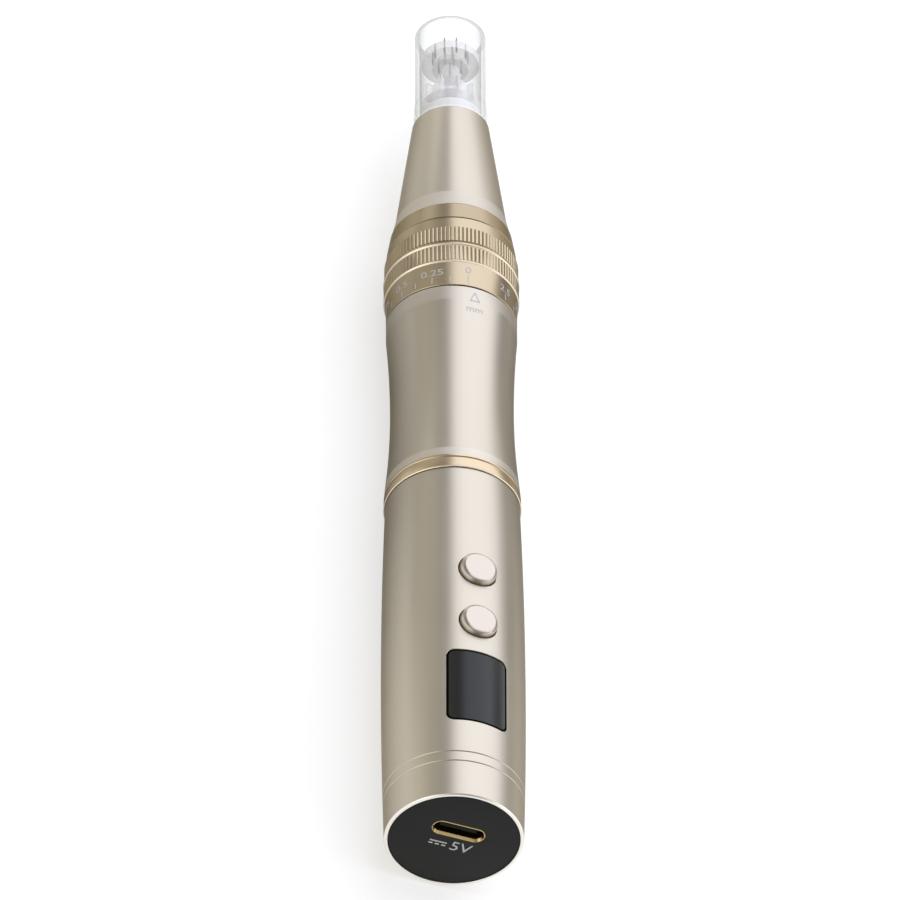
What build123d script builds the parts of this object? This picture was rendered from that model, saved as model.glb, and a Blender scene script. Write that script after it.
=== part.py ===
from build123d import *
import math
import os

# Microneedling pen with a depth ring and a clear needle cartridge, in millimetres.
# It is drawn upright: stations run up the axis from the tail face to the tip, the
# front with the screen and buttons looks to -Y, and azimuths turn from there to +X.
# At the end every piece is laid down, so the pen lies along +Y with its front up.

# Stations along the axis
barrel_length = 70.2
mid_ring_width = 2.3
grip_length = 37.7
washer_thickness = 0.3
ring_length = 14.8
collar_length = 3.6
nose_length = 25.3
cartridge_length = 20.7

# Clearances
running_gap = 0.05
seat_gap = 0.02
axial_play = 0.05
button_gap = 0.15
lens_gap = 0.1
overrun = 1.0

# The pen's thickest radius, and the other turned radii as shares of it
crown_radius = 11.67
tail_share = 0.964
barrel_front_share = 0.94
barrel_bore_share = 0.887
tail_seat_share = 0.9135
sleeve_bore_share = 0.7412
battery_share = 0.5656
battery_offset_share = 0.2742
rail_share = 0.6
port_offset_share = 0.1757
mid_ring_share = 0.9572
grip_rear_share = 0.9529
grip_band_share = 0.9409
grip_waist_share = 0.8655
grip_front_share = 0.9203
grip_bore_share = 0.7986
spigot_share = 0.6855
spigot_bore_share = 0.617
scale_band_share = 0.9212
knurl_share = 0.9512
knurl_front_share = 0.9426
ring_front_share = 0.9117
ring_tail_share = 0.9083
collar_front_share = 0.8586
nose_rear_share = 0.8526
nose_shoulder_share = 0.7883
motor_share = 0.6598
chamber_share = 0.5398

# Rear barrel
crown_station_share = 0.42
tail_seat_depth = 2.6
tail_disc_recess = 0.12
edge_break = 0.22
groove_depth = 0.12
groove_stations = (7.05, 9.0)

# Screen
window_station_share = 0.3276
window_length = 14.9
window_width = 10.35
window_corner = 1.3
lens_thickness = 2.3
module_thickness = 2.4
module_margin = 0.25

# Buttons
button_station_shares = (0.5242, 0.6838)
button_names = ("lower", "upper")
button_bore = 3.25
button_proud = 1.05
button_top_radius = 2.45
button_bevel_height = 0.6
button_flange_radius = 3.8
button_flange_thickness = 0.8
button_flange_gap = 0.12
button_stem_radius = 1.5
button_travel = 0.35
button_mouth_chamfer = 0.12
switch_side = 5.2
stem_length_share = 0.354
actuator_radius = 1.2
actuator_height = 0.3

# Main board, its chips and its screws
board_thickness = 1.0
board_edge_gap = 0.93
board_tail_station = 3.0
chip_side = 4.0
chip_height = 0.9
passive_length = 1.6
passive_pitch = 1.7
passive_count = 5
screw_radius = 0.8
screw_head_radius = 1.4
screw_head_height = 0.7
screw_inset = 1.9
screw_length = 3.2

# USB-C receptacle
port_width = 8.94
port_height = 3.26
port_wall = 0.33
port_length = 7.35
port_slot_gap = 0.08
tongue_width = 6.2
tongue_thickness = 0.7
tongue_recess = 0.8
insulator_length = 2.2
contact_count = 12
contact_pitch = 0.5
contact_width = 0.25
contact_thickness = 0.05
contact_length = 3.2

# Tail cap
cap_plate_thickness = 2.4
skirt_length = 3.4
skirt_wall = 1.2

# Battery and the chassis that carries it
battery_nub_radius = 2.6
battery_nub_height = 0.9
battery_tail_station = 11.0
battery_tab_thickness = 0.3
battery_tab_radius = 4.5
lead_radius = 0.5
chassis_gap = 0.1
chassis_front_gap = 0.2
chassis_wall = 1.5
rail_height = 4.7

# Joining sleeve between barrel and grip
sleeve_tail_length = 7.2
sleeve_grip_length = 9.5

# Middle ring
mid_ring_lip = 0.4
mid_ring_lip_rise = 0.06

# Grip
grip_band_length = 2.1
grip_waist_offset = 18.5
grip_front_length = 3.0
grip_edge = 0.45

# Spine tube that joins grip and nose through the depth ring
spine_web = 0.8
spigot_length = 8.0

# Depth ring
scale_band_length = 2.3
flare_length = 1.6
knurl_depth = 0.16
knurl_count = 100
knurl_rear_offset = 5.1
knurl_width = 3.25
knurl_gap_width = 0.9
knurl_gap_depth = 0.22
ring_chamfer = 0.2
o_ring_section = 0.4
o_ring_inset = 1.9

# Scale and helix: one full depth is ten steps round the ring
depth_travel = 2.5
scale_step_angle = 32.0
scale_steps = 10
rest_offset_angle = 6.0
pin_azimuth = 180.0
pin_radius = 0.7
pin_offset = 5.2
pin_seat = 0.7
helix_depth = 0.75
pin_tip_gap = 0.1

# Carriage with motor, cam and drive rod
carriage_tail_offset = 5.0
motor_length_share = 0.5305
motor_cap_step = 0.4
motor_cap_length = 1.7
motor_boss_margin = 1.0
motor_boss_length = 1.2
shaft_radius = 1.0
shaft_length = 12.0
shaft_inner_length = 6.0
carriage_wall = 1.6
chamber_length = 18.4
motor_screw_gap = 0.1
motor_screw_head_height = 0.9

# Barrel cam
stroke = 2.0
cam_length = 8.6
cam_lift = 1.6
cam_track_offset = 2.0
cam_track_depth = 0.9
follower_radius = 0.6
follower_azimuth = 90.0
follower_reach = 0.8

# Drive rod
cup_side_gap = 0.6
cup_wall = 1.35
cup_gap = 0.15
cup_end = 1.2
cup_length = 10.0
cup_lift = 2.2
rod_radius = 2.0
rod_tip_radius = 1.2
rod_tip_length = 2.4
bush_radius = 3.0
bush_flange_radius = 4.4
bush_flange_thickness = 0.8

# Nose, its collar and its seal
nose_shoulder_length = 3.5
nose_tip_step = 0.35
nose_edge = 0.25
nose_bore = 5.2
seal_length = 2.0
seal_offset = 6.0

# Clear cartridge
cartridge_radius = 5.88
cartridge_bore = 5.1
base_radius = 6.03
base_length = 4.2
neck_radius = 4.6
neck_length = 8.6
neck_bore = 3.2
neck_ring_section = 0.35
neck_ring_offset = 2.0
base_wall = 2.9
rim_edge = 0.18
guide_disc_thickness = 2.0
guide_tube_radius = 3.1
guide_tube_length = 6.2
guide_rib_count = 8
guide_rib_thickness = 0.5
guide_rib_reach = 4.3

# Needle plunger, plate and needles
plunger_radius = 1.5
plunger_gap = 0.1
socket_radius = 2.4
socket_length = 2.8
plate_radius = 4.76
plate_thickness = 1.5
plate_front_drop = 4.7
plunger_head_radius = 3.0
plunger_head_length = 0.9
needle_radius = 0.16
needle_length = 2.65
needle_tip_length = 0.9
needle_circle_radii = (0.9, 2.9)
needle_circle_counts = (3, 9)

# Stations worked out from the lengths
grip_low = barrel_length + mid_ring_width
grip_high = grip_low + grip_length
ring_low = grip_high + washer_thickness + axial_play
ring_high = ring_low + ring_length
collar_low = ring_high + axial_play
nose_low = collar_low + collar_length
nose_high = nose_low + nose_length
cartridge_low = nose_high + seat_gap
overall_length = nose_high + cartridge_length
axis_height = crown_radius
window_station = barrel_length * window_station_share
button_stations = [barrel_length * share for share in button_station_shares]
battery_high = barrel_length - sleeve_tail_length - chassis_front_gap - chassis_wall - battery_tab_thickness
board_high = battery_high + battery_tab_thickness + chassis_wall
chip_station = (button_stations[-1] + switch_side / 2 + battery_high) / 2
carriage_tail_station = grip_low + carriage_tail_offset
motor_length = grip_length * motor_length_share

# Radii worked out from the crown radius and the clearances
tail_radius = crown_radius * tail_share
barrel_front_radius = crown_radius * barrel_front_share
barrel_bore = crown_radius * barrel_bore_share
tail_seat_radius = crown_radius * tail_seat_share
battery_radius = crown_radius * battery_share
battery_offset = crown_radius * battery_offset_share
chassis_radius = barrel_bore - chassis_gap
rail_inner = crown_radius * rail_share
port_offset = crown_radius * port_offset_share
mid_ring_radius = crown_radius * mid_ring_share
grip_rear_radius = crown_radius * grip_rear_share
grip_band_radius = crown_radius * grip_band_share
grip_waist_radius = crown_radius * grip_waist_share
grip_front_radius = crown_radius * grip_front_share
grip_bore = crown_radius * grip_bore_share
spine_radius = grip_bore - seat_gap
sleeve_bore = crown_radius * sleeve_bore_share
spigot_radius = crown_radius * spigot_share
spigot_bore = crown_radius * spigot_bore_share
scale_band_radius = crown_radius * scale_band_share
knurl_radius = crown_radius * knurl_share
knurl_front_radius = crown_radius * knurl_front_share
ring_front_radius = crown_radius * ring_front_share
ring_tail_radius = crown_radius * ring_tail_share
collar_front_radius = crown_radius * collar_front_share
nose_rear_radius = crown_radius * nose_rear_share
nose_shoulder_radius = crown_radius * nose_shoulder_share
nose_tip_radius = base_radius + nose_tip_step
carriage_radius = sleeve_bore - running_gap
motor_radius = crown_radius * motor_share
motor_cap_radius = motor_radius - motor_cap_step
chamber_bore = crown_radius * chamber_share
motor_screw_circle = chamber_bore - screw_head_radius - motor_screw_gap
motor_boss_radius = motor_screw_circle - screw_radius - motor_boss_margin
pin_root = chamber_bore + pin_seat
cup_radius = chamber_bore - cup_side_gap
cam_radius = cup_radius - cup_wall - cup_gap
guide_radius = cartridge_bore - running_gap

# Depths of the front pieces, measured from the axis towards the front
board_back = port_offset + port_height / 2
board_front = board_back + board_thickness
lens_back = crown_radius - lens_thickness
module_front = lens_back - lens_gap
module_back = module_front - module_thickness
flange_front = math.sqrt(barrel_bore ** 2 - button_flange_radius ** 2) - button_flange_gap
flange_back = flange_front - button_flange_thickness
stem_back = flange_back - stem_length_share * (flange_back - board_front)
actuator_front = stem_back - running_gap - button_travel
switch_front = actuator_front - actuator_height
board_width = 2 * (math.sqrt(barrel_bore ** 2 - board_front ** 2) - board_edge_gap)

laid_down = Location((0, -overall_length / 2, axis_height), (-90, 0, 0))


def save(name, shape):
    """Write one named piece, laid down in the pen's own frame."""
    export_step(laid_down * shape, f"parts/{name}.step")


def rod(radius, low, high):
    """Round bar on the axis between two stations."""
    return Pos(0, 0, low) * Cylinder(radius, high - low, align=(Align.CENTER, Align.CENTER, Align.MIN))


def tube(outer, inner, low, high):
    """Bored round bar on the axis between two stations."""
    return rod(outer, low, high) - rod(inner, low - overrun, high + overrun)


def turned(*edges):
    """Closed outline of lines and arcs, spun about the axis."""
    return revolve(Face(Wire(edges)), Axis.Z)


def point(radius, station):
    """Place on the outline that is spun."""
    return (radius, 0, station)


def polygon_turned(*places):
    """Outline of straight lines, given as radius and station, spun about the axis."""
    points = [point(*place) for place in places]
    return revolve(Face(Wire(Polyline(*points, close=True).edges())), Axis.Z)


def facing(station, depth):
    """Plane that looks out to the front, a depth away from the axis."""
    return Plane(origin=(0, -depth, station), x_dir=(1, 0, 0), z_dir=(0, -1, 0))


def raised(sketch, station, back, front):
    """Sketch extruded towards the front between two depths."""
    return extrude(facing(station, back) * sketch, front - back)


def radial_rod(radius, azimuth, station, inner, outer):
    """Round bar that points away from the axis."""
    return Rot(0, 0, azimuth) * raised(Circle(radius), station, inner, outer)


def block(width, back, front, low, high):
    """Box centred on the front, between two depths and two stations."""
    return raised(Rectangle(width, high - low), (low + high) / 2, back, front)


def helix_track(surface, depth, width, rise, turns, low, azimuth, lefthand):
    """Helical track cut that spans a surface radius by its depth, with round ends."""
    path = Helix(rise / turns, rise, surface, lefthand=lefthand)
    section = Plane(origin=path @ 0, x_dir=(1, 0, 0), z_dir=path % 0) * Rectangle(2 * depth, width)
    track = sweep(section, path=path, is_frenet=True)
    start = radial_rod(width / 2, 90, 0, surface - depth, surface + depth)
    turn = -360 * turns if lefthand else 360 * turns
    finish = radial_rod(width / 2, 90 + turn, rise, surface - depth, surface + depth)
    return Pos(0, 0, low) * Rot(0, 0, azimuth - 90) * (track + start + finish)


def o_ring(centre_radius, section, station):
    """Closed ring of round section."""
    return Pos(0, 0, station) * Torus(centre_radius, section)


def barrel_blank():
    """Outer form of the rear barrel, crowned by one arc."""
    crown = point(crown_radius, barrel_length * crown_station_share)
    return turned(
        Line(point(0, 0), point(tail_radius - edge_break, 0)),
        Line(point(tail_radius - edge_break, 0), point(tail_radius, edge_break)),
        ThreePointArc(point(tail_radius, edge_break), crown, point(barrel_front_radius, barrel_length)),
        Line(point(barrel_front_radius, barrel_length), point(0, barrel_length)),
        Line(point(0, barrel_length), point(0, 0)),
    )


def barrel_radius_at(station):
    """Crown radius of the barrel near a station, on the arc's parabola."""
    crown_station = barrel_length * crown_station_share
    if station < crown_station:
        return crown_radius - (crown_radius - tail_radius) * (1 - station / crown_station) ** 2
    share = (station - crown_station) / (barrel_length - crown_station)
    return crown_radius - (crown_radius - barrel_front_radius) * share ** 2


def rear_barrel():
    """Anodised tube with the screen window, two button bores and two fine grooves."""
    body = barrel_blank()
    body -= rod(barrel_bore, -overrun, barrel_length + overrun)
    body -= rod(tail_seat_radius, -overrun, tail_seat_depth)
    window = RectangleRounded(window_width, window_length, window_corner)
    body -= raised(window, window_station, 0, crown_radius + overrun)
    for station in button_stations:
        surface = barrel_radius_at(station)
        body -= raised(Circle(button_bore), station, 0, surface + overrun)
        mouth = Cone(button_bore, button_bore + 2 * button_mouth_chamfer, 2 * button_mouth_chamfer)
        body -= facing(station, surface) * mouth
    for station in groove_stations:
        edge = barrel_radius_at(station)
        body -= polygon_turned(
            (edge - groove_depth, station),
            (edge + groove_depth, station - 2 * groove_depth),
            (edge + groove_depth, station + 2 * groove_depth),
        )
    return body


def tail_cap():
    """Black end disc with a skirt, a slot for the port and a notch for the board."""
    plate = rod(tail_seat_radius - seat_gap, tail_disc_recess, tail_disc_recess + cap_plate_thickness)
    plate_top = tail_disc_recess + cap_plate_thickness
    skirt = tube(barrel_bore - seat_gap, barrel_bore - skirt_wall, plate_top, plate_top + skirt_length)
    cap = plate + skirt
    cap -= port_slot(port_width + 2 * port_slot_gap, port_height + 2 * port_slot_gap, 0, plate_top + skirt_length)
    cap -= block(board_width + 2 * lens_gap, board_back - seat_gap, board_front + lens_gap,
                 board_tail_station, plate_top + skirt_length + overrun)
    return cap


def port_slot(width, height, low, high):
    """Rounded slot bar on the port's own line, between two stations."""
    sketch = Pos(0, -port_offset) * SlotOverall(width, height)
    return extrude(Plane.XY.offset(low) * sketch, high - low)


def usb_shell():
    """Bent metal shell of the receptacle."""
    outer = port_slot(port_width, port_height, tail_disc_recess, tail_disc_recess + port_length)
    inner = port_slot(port_width - 2 * port_wall, port_height - 2 * port_wall,
                      tail_disc_recess - overrun, tail_disc_recess + port_length + overrun)
    return outer - inner


def usb_insulator():
    """Plastic block at the back of the receptacle with its tongue."""
    high = tail_disc_recess + port_length
    low = high - insulator_length
    width = port_width - 2 * port_wall - 2 * seat_gap
    height = port_height - 2 * port_wall - 2 * seat_gap
    back = port_slot(width, height, low, high)
    tongue = block(tongue_width, port_offset - tongue_thickness / 2, port_offset + tongue_thickness / 2,
                   tail_disc_recess + tongue_recess, low)
    return back + tongue


def usb_contacts():
    """Contact strips on both faces of the tongue."""
    low = tail_disc_recess + 2 * tongue_recess
    strips = []
    for number in range(contact_count):
        across = (number - (contact_count - 1) / 2) * contact_pitch
        for face in (port_offset + tongue_thickness / 2, port_offset - tongue_thickness / 2 - contact_thickness):
            strips.append(Pos(across, 0, 0) * block(contact_width, face, face + contact_thickness,
                                                    low, low + contact_length))
    return Compound(strips)


def screw_places():
    """Four screw places on the board, as offset across and station."""
    across = board_width / 2 - screw_inset / 2
    tail = battery_tail_station + screw_inset
    return [(side * across, station) for side in (-1, 1) for station in (tail, battery_high - screw_inset)]


def main_board():
    """Circuit board that lies over the battery."""
    board = block(board_width, board_back, board_front, board_tail_station, board_high)
    for across, station in screw_places():
        board -= Pos(across, 0, 0) * raised(Circle(screw_radius + running_gap), station,
                                            board_back - overrun, board_front + overrun)
    return board


def board_screws():
    """Pan-head screws that hold the board on the chassis rails."""
    screws = []
    for across, station in screw_places():
        shank = raised(Circle(screw_radius), station, board_front - screw_length, board_front)
        head = raised(Circle(screw_head_radius), station, board_front, board_front + screw_head_height)
        screws.append(Pos(across, 0, 0) * (shank + head))
    return Compound(screws)


def board_chips():
    """Controller and a row of small parts soldered to the board."""
    half = chip_side / 2
    chips = [block(chip_side, board_front, board_front + chip_height, chip_station - half, chip_station + half)]
    for number in range(passive_count):
        station = button_stations[1] - switch_side / 2 - passive_pitch * (number + 1)
        chips.append(Pos(chip_side, 0, 0) * block(passive_length, board_front, board_front + chip_height / 2,
                                                  station - chip_height / 2, station + chip_height / 2))
    return Compound(chips)


def display_module():
    """Screen module, smaller than the window, on a frame that stands on the board."""
    width = window_width - 2 * module_margin
    length = window_length - 2 * module_margin
    panel = raised(RectangleRounded(width, length, window_corner), window_station, module_back, module_front)
    frame = raised(Rectangle(width, length) - Rectangle(width - 2 * chassis_wall, length - 2 * chassis_wall),
                   window_station, board_front, module_back)
    return panel, frame


def display_lens():
    """Dark window, flush with the crowned barrel and flat at the back."""
    sketch = RectangleRounded(window_width - 2 * lens_gap, window_length - 2 * lens_gap, window_corner - lens_gap)
    return raised(sketch, window_station, lens_back, crown_radius + overrun) & barrel_blank()


def tact_switch(station):
    """Switch body with its round actuator."""
    body = raised(Rectangle(switch_side, switch_side), station, board_front, switch_front)
    return body + raised(Circle(actuator_radius), station, switch_front, actuator_front)


def button(station):
    """Button cap with a bevelled top, a flange that keeps it in, and a stem."""
    surface = barrel_radius_at(station)
    top = surface + button_proud
    radius = button_bore - button_gap
    cap = raised(Circle(radius), station, flange_front, top - button_bevel_height)
    bevel = loft([
        facing(station, top - button_bevel_height) * Circle(radius),
        facing(station, top) * Circle(button_top_radius),
    ])
    flange = raised(Circle(button_flange_radius), station, flange_back, flange_front)
    stem = raised(Circle(button_stem_radius), station, stem_back, flange_back)
    return cap + bevel + flange + stem


def battery_cell():
    """Round lithium cell with its raised front terminal."""
    cell = rod(battery_radius, battery_tail_station, battery_high - battery_nub_height)
    nub = rod(battery_nub_radius, battery_tail_station, battery_high)
    return Pos(0, battery_offset, 0) * (cell + nub)


def battery_tab(low):
    """Spot-welded tab on one end of the cell."""
    return Pos(0, battery_offset, 0) * rod(battery_tab_radius, low, low + battery_tab_thickness)


def lead_stations():
    """Stations of the two leads, each against the outer face of its tab."""
    tail = battery_tail_station - battery_tab_thickness - lead_radius
    return tail, battery_high + battery_tab_thickness + lead_radius


def battery_lead(station):
    """Short stiff lead from a tab up to the board."""
    return raised(Circle(lead_radius), station, -battery_offset, board_back)


def chassis():
    """Two end plates and two rails that carry the cell and the board."""
    tail = battery_tail_station - battery_tab_thickness
    front = battery_high + battery_tab_thickness
    plates = rod(chassis_radius, tail - chassis_wall, tail) + rod(chassis_radius, front, front + chassis_wall)
    rails = block(2 * chassis_radius, board_back - rail_height, board_back, tail, front)
    rails -= block(2 * rail_inner, -chassis_radius, board_back + overrun, tail, front)
    frame = (plates + rails) & rod(chassis_radius, tail - chassis_wall, front + chassis_wall)
    frame -= block(2 * chassis_radius, board_back, chassis_radius, tail - chassis_wall - overrun,
                   front + chassis_wall + overrun)
    for across, station in screw_places():
        frame -= Pos(across, 0, 0) * raised(Circle(screw_radius + running_gap), station,
                                            board_front - screw_length - running_gap, board_back + overrun)
    for station in lead_stations():
        reach = lead_radius + running_gap
        frame -= block(2 * reach, -battery_offset - reach, board_back + overrun, station - reach, station + reach)
    return frame


def joining_sleeve():
    """Stepped sleeve that holds barrel, middle ring and grip in line."""
    low = barrel_length - sleeve_tail_length
    rear = tube(barrel_bore - seat_gap, sleeve_bore, low, grip_low)
    return rear + tube(spine_radius, sleeve_bore, grip_low, grip_low + sleeve_grip_length)


def mid_ring():
    """Gold ring between barrel and grip, with a bright lip at its rear edge."""
    return polygon_turned(
        (barrel_bore, barrel_length),
        (mid_ring_radius - mid_ring_lip_rise, barrel_length),
        (mid_ring_radius + mid_ring_lip_rise, barrel_length + mid_ring_lip / 2),
        (mid_ring_radius - mid_ring_lip_rise, barrel_length + mid_ring_lip),
        (mid_ring_radius, barrel_length + 2 * mid_ring_lip),
        (mid_ring_radius, grip_low - mid_ring_lip / 2),
        (mid_ring_radius - mid_ring_lip / 2, grip_low),
        (barrel_bore, grip_low),
    )


def grip_sleeve():
    """Waisted grip with a pale chamfered band at its rear and a soft front edge."""
    band_high = grip_low + grip_band_length
    waist = grip_low + grip_waist_offset
    front_low = grip_high - grip_front_length
    rear_curve = TangentArc(point(grip_waist_radius, waist), point(grip_band_radius, band_high), tangent=(0, 0, -1))
    front_curve = TangentArc(point(grip_waist_radius, waist), point(grip_front_radius, front_low),
                             tangent=(0, 0, 1))
    edge_low = point(grip_front_radius, grip_high - grip_edge)
    edge_high = point(grip_front_radius - grip_edge, grip_high)
    return turned(
        Line(point(grip_bore, grip_low), point(grip_rear_radius, grip_low)),
        Line(point(grip_rear_radius, grip_low), point(grip_band_radius, band_high)),
        rear_curve,
        front_curve,
        Line(point(grip_front_radius, front_low), edge_low),
        TangentArc(edge_low, edge_high, tangent=(0, 0, 1)),
        Line(edge_high, point(grip_bore, grip_high)),
        Line(point(grip_bore, grip_high), point(grip_bore, grip_low)),
    )


def spine_tube():
    """Fixed tube inside the ring, slotted for the carriage pin, with a spigot for the nose."""
    low = grip_low + sleeve_grip_length + seat_gap
    web_low = collar_low - spine_web
    body = tube(spine_radius, sleeve_bore, low, web_low)
    body += tube(spine_radius, spigot_bore, web_low, collar_low)
    body += tube(spigot_radius, spigot_bore, collar_low, collar_low + spigot_length)
    travel = ring_travel()
    slot = SlotCenterToCenter(travel, 2 * (pin_radius + running_gap), rotation=90)
    middle = pin_station() + travel / 2
    body -= Rot(0, 0, pin_azimuth) * raised(slot, middle, carriage_radius - overrun, spine_radius + overrun)
    return body


def ring_turn():
    """Full turn of the ring in degrees, from its stop to the deepest mark."""
    return scale_step_angle * scale_steps + rest_offset_angle


def ring_travel():
    """Carriage travel over the full turn of the ring."""
    return depth_travel * ring_turn() / (scale_step_angle * scale_steps)


def pin_station():
    """Station of the carriage pin at rest."""
    return ring_low + pin_offset


def thrust_washer():
    """Dark slip washer under the depth ring."""
    return tube(grip_front_radius - grip_edge, grip_bore + seat_gap, grip_high, grip_high + washer_thickness)


def knurled_band(radius, low, high):
    """Band with straight flutes all round, as one extruded outline."""
    count = 2 * knurl_count
    corners = []
    for number in range(count):
        reach = radius - knurl_depth * (number % 2)
        angle = math.radians(360 * number / count)
        corners.append((reach * math.cos(angle), reach * math.sin(angle)))
    outline = Face(Wire(Polyline(*corners, close=True).edges()))
    return Pos(0, 0, low) * extrude(outline, high - low)


def depth_ring():
    """Gold ring with scale band, two knurled bands and the helical track in its bore."""
    knurl_rear = ring_low + knurl_rear_offset
    knurl_middle = knurl_rear + knurl_width
    knurl_front = knurl_middle + knurl_gap_width
    knurl_end = knurl_front + knurl_width
    bore = spine_radius + running_gap
    core = polygon_turned(
        (bore, ring_low),
        (ring_tail_radius, ring_low),
        (scale_band_radius, ring_low + ring_chamfer),
        (scale_band_radius, ring_low + scale_band_length),
        (knurl_radius - ring_chamfer / 2, ring_low + scale_band_length + flare_length),
        (knurl_radius, knurl_rear - ring_chamfer / 2),
        (knurl_radius - ring_chamfer, knurl_rear),
        (knurl_radius - ring_chamfer, knurl_middle),
        (knurl_radius - knurl_gap_depth, knurl_middle),
        (knurl_radius + ring_chamfer / 4, knurl_middle + knurl_gap_width / 3),
        (knurl_radius - ring_chamfer / 4, knurl_middle + 2 * knurl_gap_width / 3),
        (knurl_front_radius - knurl_gap_depth, knurl_front),
        (knurl_front_radius - ring_chamfer, knurl_end),
        (ring_front_radius, ring_high),
        (bore, ring_high),
    )
    bands = knurled_band(knurl_radius, knurl_rear, knurl_middle)
    bands += knurled_band(knurl_front_radius, knurl_front, knurl_end)
    bands -= rod(bore, ring_low, ring_high)
    ring = core + bands
    turns = ring_turn() / 360
    width = 2 * (pin_radius + running_gap)
    ring -= helix_track(bore, helix_depth, width, ring_travel(), turns, pin_station(), pin_azimuth, True)
    o_ring_station = ring_high - o_ring_inset
    groove = o_ring_section + running_gap
    ring -= tube(bore + 2 * groove, bore - overrun, o_ring_station - groove, o_ring_station + groove)
    return ring


def friction_o_ring():
    """Rubber ring that gives the depth ring its drag."""
    return o_ring(spine_radius + seat_gap + o_ring_section, o_ring_section, ring_high - o_ring_inset)


def carriage_stations():
    """Stations of the carriage: motor seat, chamber and front end."""
    seat = carriage_tail_station + motor_length - motor_cap_length
    chamber_low = seat + carriage_wall
    chamber_high = chamber_low + chamber_length
    front = collar_low - spine_web - ring_travel() - 2 * axial_play
    return seat, chamber_low, chamber_high, front


def carriage():
    """Sliding housing for motor and cam, with the bush seat at its front."""
    seat, chamber_low, chamber_high, front = carriage_stations()
    body = rod(carriage_radius, carriage_tail_station, front)
    body -= rod(motor_radius + seat_gap, carriage_tail_station - overrun, seat)
    body -= rod(motor_boss_radius + seat_gap, seat - overrun, chamber_low + overrun)
    body -= rod(chamber_bore, chamber_low, chamber_high)
    body -= rod(bush_radius + seat_gap, chamber_high - overrun, front + overrun)
    track_middle = follower_station() + stroke / 2
    slot = SlotCenterToCenter(stroke, 2 * (follower_radius + running_gap), rotation=90)
    body -= Rot(0, 0, follower_azimuth) * raised(slot, track_middle, 0, chamber_bore + follower_reach + axial_play)
    body -= radial_rod(pin_radius, pin_azimuth, pin_station(), pin_root, carriage_radius + overrun)
    for azimuth in (0, 180):
        body -= Rot(0, 0, azimuth) * Pos(0, -motor_screw_circle, 0) * rod(
            screw_radius + running_gap, seat - overrun, chamber_low + overrun)
    return body


def carriage_pin():
    """Pin that turns the ring's helix into travel of the carriage."""
    tip = spine_radius + running_gap + helix_depth - pin_tip_gap
    return radial_rod(pin_radius, pin_azimuth, pin_station(), pin_root, tip)


def motor_can():
    """Steel motor can with its front boss, bored for the shaft and tapped for its screws."""
    seat = carriage_stations()[0]
    low = seat - motor_length + motor_cap_length
    can = rod(motor_radius, low, seat) + rod(motor_boss_radius, seat, seat + motor_boss_length)
    can -= rod(shaft_radius + running_gap, seat - shaft_inner_length, seat + motor_boss_length + overrun)
    for azimuth in (0, 180):
        can -= Rot(0, 0, azimuth) * Pos(0, -motor_screw_circle, 0) * rod(
            screw_radius + running_gap, seat - carriage_wall, seat + overrun)
    return can


def motor_cap():
    """Plastic rear cap of the motor with its two solder lugs."""
    high = carriage_tail_station
    cap = rod(motor_cap_radius, high - motor_cap_length, high)
    for side in (-1, 1):
        cap += Pos(side * motor_cap_radius / 2, 0, 0) * block(
            motor_cap_length, -lead_radius / 2, lead_radius / 2, high - 2 * motor_cap_length, high)
    return cap


def motor_screws():
    """Two screws through the carriage wall into the motor."""
    seat, chamber_low = carriage_stations()[:2]
    screws = []
    for azimuth in (0, 180):
        screw = rod(screw_radius, seat - carriage_wall + running_gap, chamber_low)
        screw += rod(screw_head_radius, chamber_low, chamber_low + motor_screw_head_height)
        screws.append(Rot(0, 0, azimuth) * Pos(0, -motor_screw_circle, 0) * screw)
    return Compound(screws)


def cam_low():
    """Station of the cam's rear face."""
    return carriage_stations()[1] + cam_lift


def follower_station():
    """Station of the follower pin at rest, at the lowest point of the track."""
    return cam_low() + cam_track_offset


def motor_shaft():
    """Shaft from inside the motor to the front of the cam."""
    seat = carriage_stations()[0]
    return rod(shaft_radius, seat - shaft_inner_length + axial_play, seat + shaft_length)


def cam_track():
    """Closed track that rises over one half turn and falls over the other."""
    slope = stroke / (math.pi * cam_radius)
    height = 2 * (follower_radius + running_gap) * math.sqrt(1 + slope ** 2)
    ramps = []
    for lefthand in (True, False):
        path = Helix(2 * stroke, stroke, cam_radius, lefthand=lefthand)
        section = Plane(origin=path @ 0, x_dir=(1, 0, 0), z_dir=(0, 1, 0)) * Rectangle(2 * cam_track_depth, height)
        ramps.append(sweep(section, path=path, is_frenet=True))
    return Pos(0, 0, follower_station()) * Rot(0, 0, follower_azimuth - 90) * (ramps[0] + ramps[1])


def barrel_cam():
    """Drum on the motor shaft with the closed track round it."""
    low = cam_low()
    drum = rod(cam_radius, low, low + cam_length) - rod(shaft_radius, low - overrun, low + cam_length + overrun)
    return drum - cam_track()


def drive_rod():
    """Cup over the cam and the long rod to the cartridge."""
    low = carriage_stations()[1] + cup_lift
    cup = rod(cup_radius, low, low + cup_length) - rod(cam_radius + cup_gap, low - overrun, low + cup_length - cup_end)
    tip_low = plunger_low() - seat_gap
    cup += rod(rod_radius, low + cup_length, tip_low)
    cup += rod(rod_tip_radius, tip_low, tip_low + rod_tip_length)
    cup -= radial_rod(follower_radius, follower_azimuth, follower_station(), cam_radius, cup_radius + overrun)
    return cup


def follower_pin():
    """Pin through the cup, in the cam's track and in the carriage's slot."""
    inner = cam_radius - cam_track_depth + running_gap
    return radial_rod(follower_radius, follower_azimuth, follower_station(), inner, chamber_bore + follower_reach)


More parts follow.
